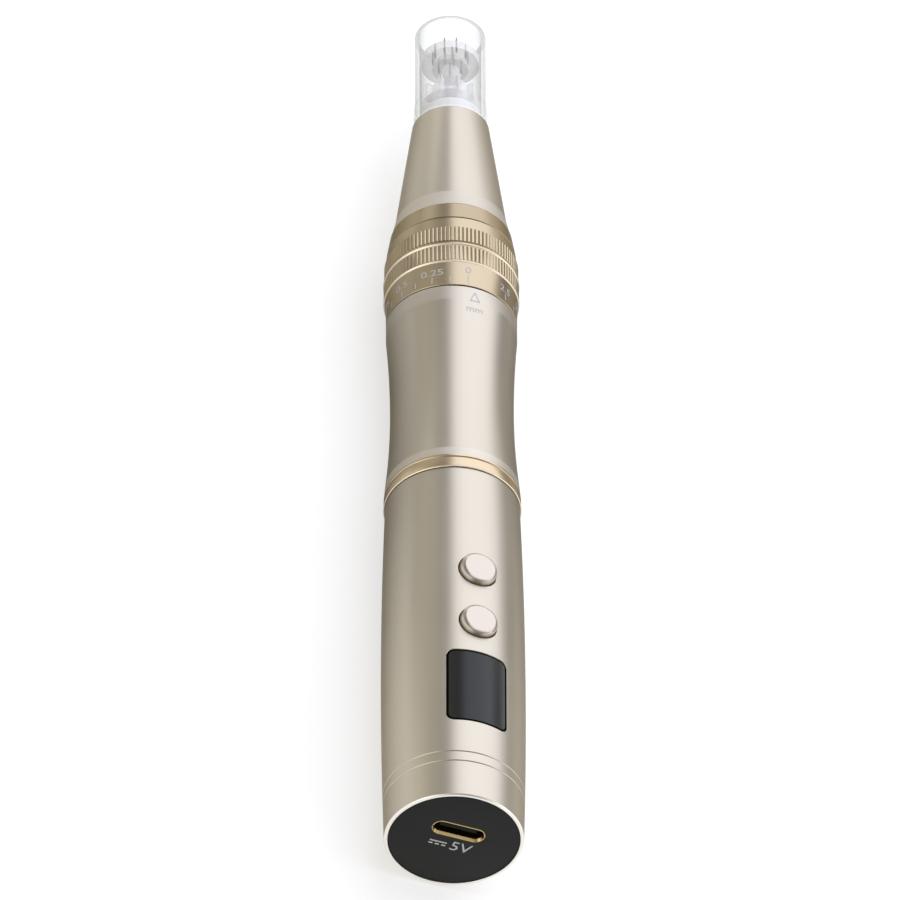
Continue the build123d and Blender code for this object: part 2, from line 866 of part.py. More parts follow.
def guide_bush():
    """Flanged bronze bush that guides the drive rod."""
    chamber_high, front = carriage_stations()[2:]
    bore = rod_radius + running_gap
    flange = tube(bush_flange_radius, bore, chamber_high - bush_flange_thickness, chamber_high)
    return flange + tube(bush_radius, bore, chamber_high, front)


def front_collar():
    """Plain gold collar between the depth ring and the nose."""
    bore = spigot_radius + seat_gap
    return polygon_turned(
        (bore, collar_low),
        (ring_tail_radius, collar_low),
        (collar_front_radius, nose_low),
        (bore, nose_low),
    )


def nose_cone():
    """Tapered nose with a steeper shoulder and the socket for the cartridge neck."""
    shoulder = nose_low + nose_shoulder_length
    edge_low = point(nose_tip_radius, nose_high - nose_edge)
    body = turned(
        Line(point(0, nose_low), point(nose_rear_radius, nose_low)),
        Line(point(nose_rear_radius, nose_low), point(nose_shoulder_radius, shoulder)),
        Line(point(nose_shoulder_radius, shoulder), edge_low),
        Line(edge_low, point(nose_tip_radius - nose_edge, nose_high)),
        Line(point(nose_tip_radius - nose_edge, nose_high), point(0, nose_high)),
        Line(point(0, nose_high), point(0, nose_low)),
    )
    spigot_end = collar_low + spigot_length + seat_gap
    body -= rod(spigot_radius + seat_gap, nose_low - overrun, spigot_end)
    body -= rod(nose_bore, spigot_end - overrun, cartridge_low - neck_length - seat_gap)
    body -= rod(neck_radius + running_gap, nose_low + overrun, nose_high + overrun)
    return body


def rod_seal():
    """Rubber seal round the drive rod, seated in the nose bore."""
    low = nose_low + seal_offset
    return tube(nose_bore - seat_gap, rod_radius + running_gap, low, low + seal_length)


def cartridge_shell():
    """Clear cartridge body with its neck, wider base and open front."""
    high = overall_length
    base_high = cartridge_low + base_length
    body = turned(
        Line(point(0, cartridge_low), point(base_radius, cartridge_low)),
        Line(point(base_radius, cartridge_low), point(base_radius, base_high)),
        Line(point(base_radius, base_high), point(cartridge_radius, base_high)),
        Line(point(cartridge_radius, base_high), point(cartridge_radius, high - rim_edge)),
        Line(point(cartridge_radius, high - rim_edge), point(cartridge_radius - rim_edge, high)),
        Line(point(cartridge_radius - rim_edge, high), point(0, high)),
        Line(point(0, high), point(0, cartridge_low)),
    )
    body += rod(neck_radius, cartridge_low - neck_length, cartridge_low)
    body -= rod(neck_bore, cartridge_low - neck_length - overrun, high + overrun)
    body -= rod(cartridge_bore, cartridge_low + base_wall, high + overrun)
    ring_station = cartridge_low - neck_ring_offset
    groove = neck_ring_section + running_gap / 2
    body -= tube(neck_radius + overrun, neck_radius - 2 * groove, ring_station - groove, ring_station + groove)
    return body


def neck_o_ring():
    """Rubber ring that holds the cartridge in the nose."""
    return o_ring(neck_radius - neck_ring_section, neck_ring_section, cartridge_low - neck_ring_offset)


def cartridge_guide():
    """Clear guide with ribs, seated in the cartridge, that the plunger runs in."""
    low = cartridge_low + base_wall
    body = rod(guide_radius, low, low + guide_disc_thickness)
    body += rod(guide_tube_radius, low, low + guide_tube_length)
    for number in range(guide_rib_count):
        azimuth = 360 * number / guide_rib_count
        body += Rot(0, 0, azimuth) * block(guide_rib_thickness, 0, guide_rib_reach, low, low + guide_tube_length)
    return body - rod(plunger_radius + plunger_gap, low - overrun, low + guide_tube_length + overrun)


def plunger_low():
    """Station of the plunger's open rear end at rest."""
    return cartridge_low - neck_length + neck_ring_offset


def plate_low():
    """Station of the needle plate's rear face at rest."""
    return overall_length - plate_front_drop - plate_thickness


def needle_plunger():
    """Plunger with a socket for the drive rod and a head for the needle plate."""
    low = plunger_low()
    body = rod(plunger_radius, low, plate_low()) + rod(socket_radius, low, low + socket_length + seat_gap)
    body += rod(plunger_head_radius, plate_low() - plunger_head_length, plate_low())
    return body - rod(rod_tip_radius + running_gap, low - overrun, low + rod_tip_length + 2 * running_gap)


def needle_places():
    """Places of the needles on their circles."""
    places = []
    for radius, count in zip(needle_circle_radii, needle_circle_counts):
        for number in range(count):
            places.append(Rot(0, 0, 360 * number / count) * Pos(0, -radius, 0))
    return places


def needle_plate():
    """Disc that holds the needles."""
    low = plate_low()
    plate = rod(plate_radius, low, low + plate_thickness)
    for place in needle_places():
        plate -= place * rod(needle_radius, low + plate_thickness / 2, low + plate_thickness + overrun)
    return plate


def needles():
    """Fine needles, each a bar with a ground point."""
    root = plate_low() + plate_thickness / 2
    tip = plate_low() + plate_thickness + needle_length
    bar = rod(needle_radius, root, tip - needle_tip_length)
    bar += Pos(0, 0, tip - needle_tip_length) * Cone(
        needle_radius, needle_radius / 8, needle_tip_length, align=(Align.CENTER, Align.CENTER, Align.MIN))
    return Compound([place * bar for place in needle_places()])


def build():
    """Write every piece to its own file."""
    os.makedirs("parts", exist_ok=True)
    save("rear_barrel", rear_barrel())
    save("tail_cap", tail_cap())
    save("usb_shell", usb_shell())
    save("usb_insulator", usb_insulator())
    save("usb_contacts", usb_contacts())
    save("main_board", main_board())
    save("board_screws", board_screws())
    save("board_chips", board_chips())
    panel, frame = display_module()
    save("display_module", panel)
    save("display_frame", frame)
    save("display_lens", display_lens())
    for name, station in zip(button_names, button_stations):
        save(f"button_{name}", button(station))
        save(f"switch_{name}", tact_switch(station))
    tab_lows = (battery_tail_station - battery_tab_thickness, battery_high)
    save("battery_cell", battery_cell())
    save("battery_tabs", Compound([battery_tab(low) for low in tab_lows]))
    save("battery_leads", Compound([battery_lead(station) for station in lead_stations()]))
    save("chassis", chassis())
    save("joining_sleeve", joining_sleeve())
    save("mid_ring", mid_ring())
    save("grip_sleeve", grip_sleeve())
    save("spine_tube", spine_tube())
    save("thrust_washer", thrust_washer())
    save("depth_ring", depth_ring())
    save("friction_o_ring", friction_o_ring())
    save("carriage", carriage())
    save("carriage_pin", carriage_pin())
    save("motor_can", motor_can())
    save("motor_cap", motor_cap())
    save("motor_screws", motor_screws())
    save("motor_shaft", motor_shaft())
    save("barrel_cam", barrel_cam())
    save("drive_rod", drive_rod())
    save("follower_pin", follower_pin())
    save("guide_bush", guide_bush())
    save("front_collar", front_collar())
    save("nose_cone", nose_cone())
    save("rod_seal", rod_seal())
    save("cartridge_shell", cartridge_shell())
    save("neck_o_ring", neck_o_ring())
    save("cartridge_guide", cartridge_guide())
    save("needle_plunger", needle_plunger())
    save("needle_plate", needle_plate())
    save("needles", needles())


build()
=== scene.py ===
import math

import bmesh
import bpy
from bmesh.types import BMEdge, BMFace, BMVert
from mathutils import Matrix, Vector


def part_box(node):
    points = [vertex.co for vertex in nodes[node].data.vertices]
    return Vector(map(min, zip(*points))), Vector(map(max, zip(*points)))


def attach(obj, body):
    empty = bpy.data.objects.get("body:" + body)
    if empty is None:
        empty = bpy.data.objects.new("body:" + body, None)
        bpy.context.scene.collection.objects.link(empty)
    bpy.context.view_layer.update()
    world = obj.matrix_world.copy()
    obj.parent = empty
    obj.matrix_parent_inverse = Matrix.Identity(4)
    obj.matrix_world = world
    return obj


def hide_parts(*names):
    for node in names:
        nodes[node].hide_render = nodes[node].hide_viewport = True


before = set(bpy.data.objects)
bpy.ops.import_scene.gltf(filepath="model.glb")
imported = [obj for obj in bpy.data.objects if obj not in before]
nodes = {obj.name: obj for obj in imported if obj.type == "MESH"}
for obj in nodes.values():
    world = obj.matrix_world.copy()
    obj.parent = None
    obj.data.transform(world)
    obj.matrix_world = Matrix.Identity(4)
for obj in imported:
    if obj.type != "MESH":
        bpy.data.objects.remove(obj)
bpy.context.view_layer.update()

# The pen is drawn in millimetres about its own axis: x across, y the station from
# the tail face up to the tip, z out to the side with the window. A finished piece is
# laid down on the floor, in metres.
MM = 0.001
MICRON = 1e-6
MIDDLE_STATION = 87.5
AXIS_HEIGHT = 11.67
LAID_DOWN = Matrix.Scale(MM, 4) @ Matrix.Translation((0, -MIDDLE_STATION, AXIS_HEIGHT))
FULL_TURN = 2 * math.pi
ROUND_STEPS = 160
SPUN_DOUBLES, LAST_DOUBLES = 1e-4, 2e-4  # corners nearer than this are one


def ends(node):
    """Stations of the rear and front ends of a node of the part."""
    low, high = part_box(node)
    return low.y / MM + MIDDLE_STATION, high.y / MM + MIDDLE_STATION


# Stations of the joints between the turned pieces. Grip and dial leave a gap, in which the washer shows.
BARREL_END, RING_END = ends("mid_ring")
GRIP_END, DIAL_START, DIAL_END = ends("grip_sleeve")[1] - 0.08, 110.31, ends("depth_ring")[1]
COLLAR_START, NOSE_START = ends("front_collar")
NOSE_END, TIP = ends("nose_cone")[1], ends("cartridge_shell")[1]
CARTRIDGE_START = NOSE_END + 0.02
BORE = 10.35
SPINE_RADIUS = 9.30


# Shading groups

GRAIN_SHARE = 0.35  # what the grain adds to the drift of the roughness
DRIFT_RANGE = (0.45, 0.95)  # drift and grain together, from the first roughness to the second


def math_node(tree, operation, *values):
    """Output of a maths node that takes plain numbers and the outputs of other nodes."""
    node = tree.nodes.new("ShaderNodeMath")
    node.operation = operation
    for socket, value in zip(node.inputs, values):
        if isinstance(value, bpy.types.NodeSocket):
            tree.links.new(value, socket)
        else:
            socket.default_value = value
    return node.outputs["Value"]


def group_socket(group, name, side, kind, default=None):
    """One named socket on a shading group."""
    socket = group.interface.new_socket(name=name, in_out=side, socket_type=kind)
    if default is not None:
        socket.default_value = default
    return socket


def surface_drift_group():
    """Slow drift of tone and roughness over a surface, with a fine grain as height."""
    group = bpy.data.node_groups.new("surface_drift", "ShaderNodeTree")
    group_socket(group, "Tone A", "INPUT", "NodeSocketColor")
    group_socket(group, "Tone B", "INPUT", "NodeSocketColor")
    group_socket(group, "Roughness A", "INPUT", "NodeSocketFloat", 0.3)
    group_socket(group, "Roughness B", "INPUT", "NodeSocketFloat", 0.4)
    group_socket(group, "Patch scale", "INPUT", "NodeSocketFloat", 60.0)
    group_socket(group, "Grain scale", "INPUT", "NodeSocketFloat", 4000.0)
    group_socket(group, "Tone", "OUTPUT", "NodeSocketColor")
    group_socket(group, "Roughness", "OUTPUT", "NodeSocketFloat")
    group_socket(group, "Grain", "OUTPUT", "NodeSocketFloat")
    add, link = group.nodes.new, group.links.new
    inputs, outputs = add("NodeGroupInput"), add("NodeGroupOutput")
    where = add("ShaderNodeTexCoord")
    patches = add("ShaderNodeTexNoise")
    patches.inputs["Detail"].default_value = 3.0
    grain = add("ShaderNodeTexNoise")
    grain.inputs["Detail"].default_value = 2.0
    link(where.outputs["Object"], patches.inputs["Vector"])
    link(where.outputs["Object"], grain.inputs["Vector"])
    link(inputs.outputs["Patch scale"], patches.inputs["Scale"])
    link(inputs.outputs["Grain scale"], grain.inputs["Scale"])
    tone = add("ShaderNodeMix")
    tone.data_type = "RGBA"
    link(patches.outputs["Fac"], tone.inputs["Factor"])
    link(inputs.outputs["Tone A"], tone.inputs["A"])
    link(inputs.outputs["Tone B"], tone.inputs["B"])
    both = math_node(group, "MULTIPLY_ADD", grain.outputs["Fac"], GRAIN_SHARE, patches.outputs["Fac"])
    rough = add("ShaderNodeMapRange")
    rough.inputs["From Min"].default_value, rough.inputs["From Max"].default_value = DRIFT_RANGE
    link(both, rough.inputs["Value"])
    link(inputs.outputs["Roughness A"], rough.inputs["To Min"])
    link(inputs.outputs["Roughness B"], rough.inputs["To Max"])
    link(tone.outputs["Result"], outputs.inputs["Tone"])
    link(rough.outputs["Result"], outputs.inputs["Roughness"])
    link(grain.outputs["Fac"], outputs.inputs["Grain"])
    return group


def turning_marks_group():
    """Fine lines round the pen's axis, as a lathe tool or a polishing belt leaves."""
    group = bpy.data.node_groups.new("turning_marks", "ShaderNodeTree")
    group_socket(group, "Lines per metre", "INPUT", "NodeSocketFloat", 9000.0)
    group_socket(group, "Height", "OUTPUT", "NodeSocketFloat")
    add, link = group.nodes.new, group.links.new
    inputs, outputs = add("NodeGroupInput"), add("NodeGroupOutput")
    where, split = add("ShaderNodeTexCoord"), add("ShaderNodeSeparateXYZ")
    lines = add("ShaderNodeTexNoise")
    lines.noise_dimensions = "1D"
    lines.inputs["Detail"].default_value = 3.0
    link(where.outputs["Object"], split.inputs["Vector"])
    link(split.outputs["Y"], lines.inputs["W"])
    link(inputs.outputs["Lines per metre"], lines.inputs["Scale"])
    link(lines.outputs["Fac"], outputs.inputs["Height"])
    return group


SURFACE_DRIFT = surface_drift_group()
TURNING_MARKS = turning_marks_group()


def finish(name, tones, roughness, grain=(4000.0, 0.4), patch=60.0, lines=None, **constants):
    """A finish that drifts between two tones and two roughnesses, over a fine grain.

    grain is its scale and its depth in microns. lines gives turning marks their count
    per metre and their depth in microns. The rest are the shader's own plain values.
    """
    material = bpy.data.materials.new(name)
    material.use_nodes = True
    tree = material.node_tree
    shader = tree.nodes["Principled BSDF"]
    drift = tree.nodes.new("ShaderNodeGroup")
    drift.node_tree = SURFACE_DRIFT
    for label, tone in zip(("Tone A", "Tone B"), tones):
        drift.inputs[label].default_value = (*tone, 1.0)
    drift.inputs["Roughness A"].default_value = roughness[0]
    drift.inputs["Roughness B"].default_value = roughness[1]
    drift.inputs["Patch scale"].default_value = patch
    drift.inputs["Grain scale"].default_value = grain[0]
    bump = tree.nodes.new("ShaderNodeBump")
    bump.inputs["Distance"].default_value = grain[1] * MICRON
    link = tree.links.new
    link(drift.outputs["Tone"], shader.inputs["Base Color"])
    link(drift.outputs["Roughness"], shader.inputs["Roughness"])
    link(drift.outputs["Grain"], bump.inputs["Height"])
    link(bump.outputs["Normal"], shader.inputs["Normal"])
    if lines:
        marks = tree.nodes.new("ShaderNodeGroup")
        marks.node_tree = TURNING_MARKS
        marks.inputs["Lines per metre"].default_value = lines[0]
        turned_bump = tree.nodes.new("ShaderNodeBump")
        turned_bump.inputs["Distance"].default_value = lines[1] * MICRON
        link(marks.outputs["Height"], turned_bump.inputs["Height"])
        link(turned_bump.outputs["Normal"], bump.inputs["Normal"])
    for socket, value in constants.items():
        shader.inputs[socket.replace("_", " ")].default_value = value
    return material


# Finishes

EDGE_TINT = (0.38, 0.36, 0.33, 1.0)
ANODISED = {"grain": (9000.0, 0.5), "patch": 40.0, "Metallic": 1.0, "Specular_Tint": EDGE_TINT}
TURNED_GOLD = {"grain": (7000.0, 0.2), "lines": (12000.0, 0.8), "Metallic": 1.0, "Specular_Tint": EDGE_TINT}

champagne = finish("champagne_anodised", ((0.425, 0.384, 0.308), (0.445, 0.403, 0.324)), (0.33, 0.39),
                   **ANODISED)
# Paler, rougher copy of the champagne for chamfered bands: the rougher finish is real, and the paler tone is
# a painted highlight for the light these bands catch.
matte_band_with_painted_highlight = finish("matte_band_with_painted_highlight", ((0.495, 0.452, 0.378), (0.515, 0.472, 0.398)), (0.46, 0.52),
                        **ANODISED)
# Slightly paler, rougher copy for the grip's front band: the rougher finish is real, and the paler tone is a
# painted highlight.
satin_band_with_painted_highlight = finish("satin_band_with_painted_highlight", ((0.452, 0.412, 0.342), (0.472, 0.432, 0.360)), (0.40, 0.46),
                        **ANODISED)
gold = finish("gold_trim", ((0.375, 0.307, 0.203), (0.40, 0.329, 0.219)), (0.25, 0.32), **TURNED_GOLD)
ring_gold = finish("ring_gold", ((0.452, 0.362, 0.236), (0.477, 0.385, 0.252)), (0.27, 0.33),
                   grain=(7000.0, 0.1), Metallic=1.0, Specular_Tint=EDGE_TINT)
rose_cap = finish("rose_button_metal", ((0.415, 0.367, 0.305), (0.435, 0.387, 0.322)), (0.28, 0.33),
                  grain=(9000.0, 0.3), Metallic=1.0)
end_black = finish("black_end_plastic", ((0.0075, 0.0075, 0.007), (0.0105, 0.0105, 0.0098)), (0.50, 0.60),
                   grain=(5000.0, 1.2), IOR=1.265)
smoked_window = finish("smoked_window", ((0.006, 0.006, 0.0045), (0.009, 0.009, 0.007)), (0.30, 0.36),
                       grain=(3000.0, 0.2), IOR=1.35)
deep_gold = finish("collar_gold", ((0.305, 0.250, 0.163), (0.33, 0.272, 0.18)), (0.25, 0.32), **TURNED_GOLD)
# Bright metal for the tail rim: a polished cut, with a painted highlight, because only the faces that look
# back take it.
polished_rim_with_highlight = finish("polished_rim_painted_highlight", ((0.72, 0.69, 0.63), (0.76, 0.73, 0.67)), (0.34, 0.40),
                  lines=(15000.0, 0.5), Metallic=1.0)
# Bright gold for the lips of the trim ring and dial: a polished cut, with a painted highlight, because only
# their faces that look back take it.
gold_lip_with_highlight = finish("gold_lip_painted_highlight", ((0.68, 0.59, 0.46), (0.72, 0.63, 0.50)), (0.38, 0.44),
                  lines=(15000.0, 0.5), Metallic=1.0)
port_brass = finish("port_gold", ((0.40, 0.285, 0.12), (0.46, 0.335, 0.15)), (0.2, 0.3),
                    grain=(6000.0, 0.3), Metallic=1.0)
port_black = finish("port_plastic", ((0.006, 0.006, 0.006), (0.009, 0.009, 0.009)), (0.6, 0.7), IOR=1.25)
panel_black = finish("display_panel", ((0.008, 0.009, 0.012), (0.012, 0.013, 0.016)), (0.15, 0.2))
board_green = finish("solder_mask_green", ((0.012, 0.105, 0.045), (0.02, 0.14, 0.06)), (0.3, 0.42),
                     grain=(2500.0, 4.0), patch=300.0)
chip_black = finish("component_black", ((0.02, 0.02, 0.021), (0.032, 0.032, 0.033)), (0.5, 0.62),
                    grain=(8000.0, 2.0))
frame_grey = finish("moulded_grey", ((0.17, 0.175, 0.18), (0.21, 0.215, 0.22)), (0.48, 0.6),
                    grain=(3500.0, 3.0))
needle_steel = finish("needle_steel", ((0.14, 0.14, 0.145), (0.18, 0.18, 0.185)), (0.25, 0.35), Metallic=1.0)
screw_steel = finish("screw_steel", ((0.53, 0.53, 0.52), (0.6, 0.6, 0.59)), (0.22, 0.34),
                     grain=(5000.0, 0.5), Metallic=1.0)
nickel = finish("nickel_strip", ((0.58, 0.55, 0.49), (0.64, 0.61, 0.55)), (0.28, 0.4), Metallic=1.0)
lead_red = finish("lead_insulation", ((0.5, 0.02, 0.018), (0.58, 0.03, 0.022)), (0.4, 0.5))
cell_wrap = finish("cell_wrap", ((0.03, 0.13, 0.32), (0.04, 0.16, 0.38)), (0.25, 0.35), patch=120.0)
aluminium = finish("plain_aluminium", ((0.62, 0.62, 0.62), (0.69, 0.69, 0.69)), (0.3, 0.42),
                   grain=(5000.0, 0.4), lines=(9000.0, 1.5), Metallic=1.0)
motor_steel = finish("motor_steel", ((0.5, 0.5, 0.49), (0.58, 0.58, 0.57)), (0.25, 0.36),
                     lines=(6000.0, 1.0), Metallic=1.0)
acetal = finish("acetal_white", ((0.72, 0.71, 0.68), (0.78, 0.77, 0.74)), (0.38, 0.48),
                lines=(5000.0, 1.5))
bronze = finish("sintered_bronze", ((0.42, 0.24, 0.11), (0.52, 0.31, 0.15)), (0.35, 0.5),
                grain=(5000.0, 3.0), Metallic=1.0)
washer_black = finish("washer_bronze_black", ((0.05, 0.037, 0.024), (0.065, 0.05, 0.034)), (0.4, 0.5))
rubber = finish("black_rubber", ((0.014, 0.014, 0.014), (0.022, 0.022, 0.022)), (0.6, 0.75),
                grain=(4000.0, 4.0))
silicone = finish("clear_silicone", ((0.78, 0.78, 0.77), (0.84, 0.84, 0.83)), (0.3, 0.4),
                  grain=(3000.0, 2.0), Transmission_Weight=0.6, IOR=1.41)
clear_shell = finish("clear_cartridge", ((0.25, 0.265, 0.215), (0.28, 0.295, 0.245)), (0.12, 0.16),
                     grain=(900.0, 0.3), IOR=1.45)
clear_rim = finish("clear_rim", ((0.27, 0.28, 0.26), (0.30, 0.31, 0.29)), (0.2, 0.3), IOR=1.45)
milky = finish("clear_inner_plastic", ((0.87, 0.86, 0.835), (0.90, 0.89, 0.865)), (0.18, 0.26),
               grain=(2500.0, 1.0), IOR=1.4)
neck_plastic = finish("clear_neck_plastic", ((0.90, 0.89, 0.87), (0.92, 0.91, 0.89)), (0.18, 0.26),
                      grain=(2500.0, 1.0), IOR=1.4)
plate_white = finish("needle_plate_plastic", ((0.86, 0.85, 0.83), (0.89, 0.88, 0.86)), (0.25, 0.35),
                     grain=(3000.0, 1.0), IOR=1.4)
dial_print = finish("dial_print", ((0.37, 0.34, 0.355), (0.41, 0.38, 0.395)), (0.5, 0.6))
grip_print = finish("grip_print", ((0.33, 0.33, 0.335), (0.37, 0.37, 0.375)), (0.5, 0.6))
end_print = finish("end_print", ((0.50, 0.50, 0.50), (0.56, 0.56, 0.56)), (0.5, 0.6))


def see_through(material, faint, dense, power):
    """Let a clear wall show what is behind it, but less of it where the wall is seen at a slant."""
    tree = material.node_tree
    slant = tree.nodes.new("ShaderNodeLayerWeight")
    sharpened = math_node(tree, "POWER", slant.outputs["Facing"], power)
    cover = tree.nodes.new("ShaderNodeMapRange")
    cover.inputs["To Min"].default_value = faint
    cover.inputs["To Max"].default_value = dense
    tree.links.new(sharpened, cover.inputs["Value"])
    tree.links.new(cover.outputs["Result"], tree.nodes["Principled BSDF"].inputs["Alpha"])


see_through(clear_shell, 0.03, 0.85, 3.4)
see_through(clear_rim, 0.20, 0.95, 1.2)
see_through(neck_plastic, 0.72, 0.95, 1.6)
see_through(milky, 0.24, 0.90, 1.6)
see_through(plate_white, 0.34, 0.92, 1.6)


# Modelling helpers

def kept(name, mesh, material, body, replaced=()):
    """A finished mesh as a piece that rides on a body and stands for some nodes."""
    piece = bpy.data.objects.new(name, mesh)
    bpy.context.scene.collection.objects.link(piece)
    mesh.materials.clear()
    mesh.materials.append(material)
    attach(piece, body)
    if replaced:
        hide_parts(*replaced)
    return piece


def creased(mesh, crease):
    """Make a mesh smooth but for the edges that are sharper than an angle in degrees."""
    mesh.shade_smooth()
    mesh.set_sharp_from_angle(angle=math.radians(crease))
    return mesh


def mesh_from(bm, name, crease=32.0, laid=True):
    """Closed mesh with outward faces, smooth but for its edges, laid down in metres."""
    bmesh.ops.remove_doubles(bm, verts=bm.verts[:], dist=LAST_DOUBLES)
    bmesh.ops.recalc_face_normals(bm, faces=bm.faces[:])
    mesh = bpy.data.meshes.new(name)
    bm.to_mesh(mesh)
    bm.free()
    if laid:
        mesh.transform(LAID_DOWN)
    return creased(mesh, crease)


def only(kind, geometry):
    """The vertices, edges or faces among what an operator gave back."""
    return [part for part in geometry if isinstance(part, kind)]


def quarter_turn(bm):
    """Turn a shape about x, so that what pointed forward points up and what looked up looks back."""
    bmesh.ops.rotate(bm, cent=(0, 0, 0), matrix=Matrix.Rotation(math.radians(90), 3, "X"), verts=bm.verts[:])
    return bm


def slice_through(bm, place, normal):
    """Divide the faces of a mesh along a plane."""
    bmesh.ops.bisect_plane(bm, geom=bm.verts[:] + bm.edges[:] + bm.faces[:], plane_co=place,
                           plane_no=normal, dist=1e-5)


def turned(outline, steps=ROUND_STEPS):
    """Outline of (radius, station) places, spun round the pen's axis."""
    bm = bmesh.new()
    places = [bm.verts.new((radius, station, 0)) for radius, station in outline]
    bore = all(radius > 0 for radius, station in outline)
    followers = places[1:] + places[:1] if bore else places[1:]
    for place, follower in zip(places, followers):
        bm.edges.new((place, follower))
    bmesh.ops.spin(bm, geom=bm.verts[:] + bm.edges[:], cent=(0, 0, 0), axis=(0, 1, 0), dvec=(0, 0, 0),
                   angle=FULL_TURN, steps=steps, use_merge=True, use_duplicate=False)
    bmesh.ops.remove_doubles(bm, verts=bm.verts[:], dist=SPUN_DOUBLES)
    return bm


def soften(bm, rounds, segments=3, near=0.004):
    """Round the circular edges that lie near each (radius, station), by a width."""
    for radius, station, width in rounds:
        edges = [edge for edge in bm.edges
                 if all(abs(math.hypot(vert.co.x, vert.co.z) - radius) < near
                        and abs(vert.co.y - station) < near for vert in edge.verts)]
        bmesh.ops.bevel(bm, geom=edges, offset=width, offset_type="OFFSET", segments=segments,
                        profile=0.5, affect="EDGES", material=-1, clamp_overlap=True)
    return bm


def circle_through(first, middle, last):
    """Centre and radius of the circle through three (radius, station) places."""
    out, along = middle[0] - first[0], middle[1] - first[1]
    far_out, far_along = last[0] - first[0], last[1] - first[1]
    square, far_square = out ** 2 + along ** 2, far_out ** 2 + far_along ** 2
    twice_area = 2 * (out * far_along - along * far_out)
    centre_out = (far_along * square - along * far_square) / twice_area
    centre_along = (out * far_square - far_out * square) / twice_area
    return first[0] + centre_out, first[1] + centre_along, math.hypot(centre_out, centre_along)


# Places are (radius, station). The barrel is crowned, and lies on the floor at its thickest place.
CROWN_REAR, CROWN_MIDDLE, CROWN_FRONT = (11.25, 0.22), (AXIS_HEIGHT, 29.484), (10.97, BARREL_END)
CROWN = circle_through(CROWN_REAR, CROWN_MIDDLE, CROWN_FRONT)


def barrel_radius(station):
    """Radius of the crowned barrel at a station."""
    across, along, reach = CROWN
    return across + math.sqrt(reach * reach - (station - along) ** 2)


def barrel_front(across, station):
    """Height of the barrel's front surface over its axis."""
    return math.sqrt(barrel_radius(station) ** 2 - across ** 2)


# The grip is waisted: where the waist starts, its narrowest place and where it ends
WAIST_START, WAIST_MIDDLE, WAIST_END = (10.98, 74.6), (10.1, 91.0), (10.74, 107.2)


def grip_radius(station):
    """Radius of the waisted part of the grip at a station."""
    narrowest, middle = WAIST_MIDDLE
    radius, end = WAIST_START if station < middle else WAIST_END
    run, rise = end - middle, radius - narrowest
    reach = (run * run + rise * rise) / (2 * rise)
    return narrowest + reach - math.sqrt(reach * reach - (station - middle) ** 2)


def spaced(start, end, count):
    """Evenly spaced stations from start to end."""
    return [start + (end - start) * number / count for number in range(count + 1)]


def cut(mesh, cutters, name):
    """Mesh with some closed cutters taken out of it, by exact booleans."""
    base = bpy.data.objects.new(name, mesh)
    bpy.context.scene.collection.objects.link(base)
    tools = []
    for cutter in cutters:
        tool = bpy.data.objects.new(name + "_cutter", cutter)
        bpy.context.scene.collection.objects.link(tool)
        modifier = base.modifiers.new("cut", "BOOLEAN")
        modifier.operation, modifier.solver, modifier.object = "DIFFERENCE", "EXACT", tool
        tools.append(tool)
    ready = base.evaluated_get(bpy.context.evaluated_depsgraph_get())
    result = bpy.data.meshes.new_from_object(ready)
    for used in [base] + tools:
        bpy.data.objects.remove(used)
    return result


EDGE_CUTS = 14  # so that a straight edge can follow the barrel


def rounded_face(width, length, corner, segments=8):
    """Flat face with round corners, across by along, centred on the origin."""
    bm = bmesh.new()
    bmesh.ops.create_grid(bm, x_segments=1, y_segments=1, size=0.5)
    bmesh.ops.scale(bm, vec=(width, length, 1), verts=bm.verts[:])
    bmesh.ops.bevel(bm, geom=bm.verts[:], offset=corner, offset_type="OFFSET", segments=segments,
                    profile=0.5, affect="VERTICES", material=-1)
    straight = [edge for edge in bm.edges if edge.calc_length() > 2 * corner]
    bmesh.ops.subdivide_edges(bm, edges=straight, cuts=EDGE_CUTS)
    bmesh.ops.dissolve_faces(bm, faces=bm.faces[:])
    return bm


def only_face(bm):
    """The one face of a mesh that has just been started."""
    bm.faces.ensure_lookup_table()
    return bm.faces[0]


def round_face(radius, segments=72):
    """Flat round face, centred on the origin."""
    bm = bmesh.new()
    bmesh.ops.create_circle(bm, cap_ends=True, radius=radius, segments=segments)
    return bm


def close_open_rim(bm, height):
    """Draw the open rim of a mesh to a height and close it with one face."""
    edges = [edge for edge in bm.edges if edge.is_boundary]
    grown = bmesh.ops.extrude_edge_only(bm, edges=edges)["geom"]
    for vert in only(BMVert, grown):
        vert.co.z = height
    bmesh.ops.contextual_create(bm, geom=only(BMEdge, grown))


CUTTER_FOOT, CUTTER_TOP = 6.0, 14.0  # heights over the axis, inside the barrel's bore and well outside


def opening_cutter(bm, station, chamfer, name):
    """Cutter for an opening in the barrel's front, chamfered evenly along the crown.

    The face it starts from is wider than the opening by twice the chamfer.
    """
    bmesh.ops.translate(bm, vec=(0, station, 0), verts=bm.verts[:])
    rim = bm.verts[:]
    face = only_face(bm)
    bmesh.ops.inset_region(bm, faces=[face], thickness=2 * chamfer, use_boundary=True, use_even_offset=True)
    mouth = face.verts[:]
    for vert in rim:
        vert.co.z = barrel_front(vert.co.x, vert.co.y) + chamfer
    for vert in mouth:
        vert.co.z = barrel_front(vert.co.x, vert.co.y) - chamfer
    foot = bmesh.ops.extrude_discrete_faces(bm, faces=[face])["faces"][0].verts[:]
    ends = [edge for edge in bm.edges
            if edge.is_boundary and all(vert in foot or vert in mouth for vert in edge.verts)]
    bmesh.ops.bridge_loops(bm, edges=ends)
    for vert in foot:
        vert.co.z = CUTTER_FOOT
    close_open_rim(bm, CUTTER_TOP)
    return mesh_from(bm, name, laid=False)


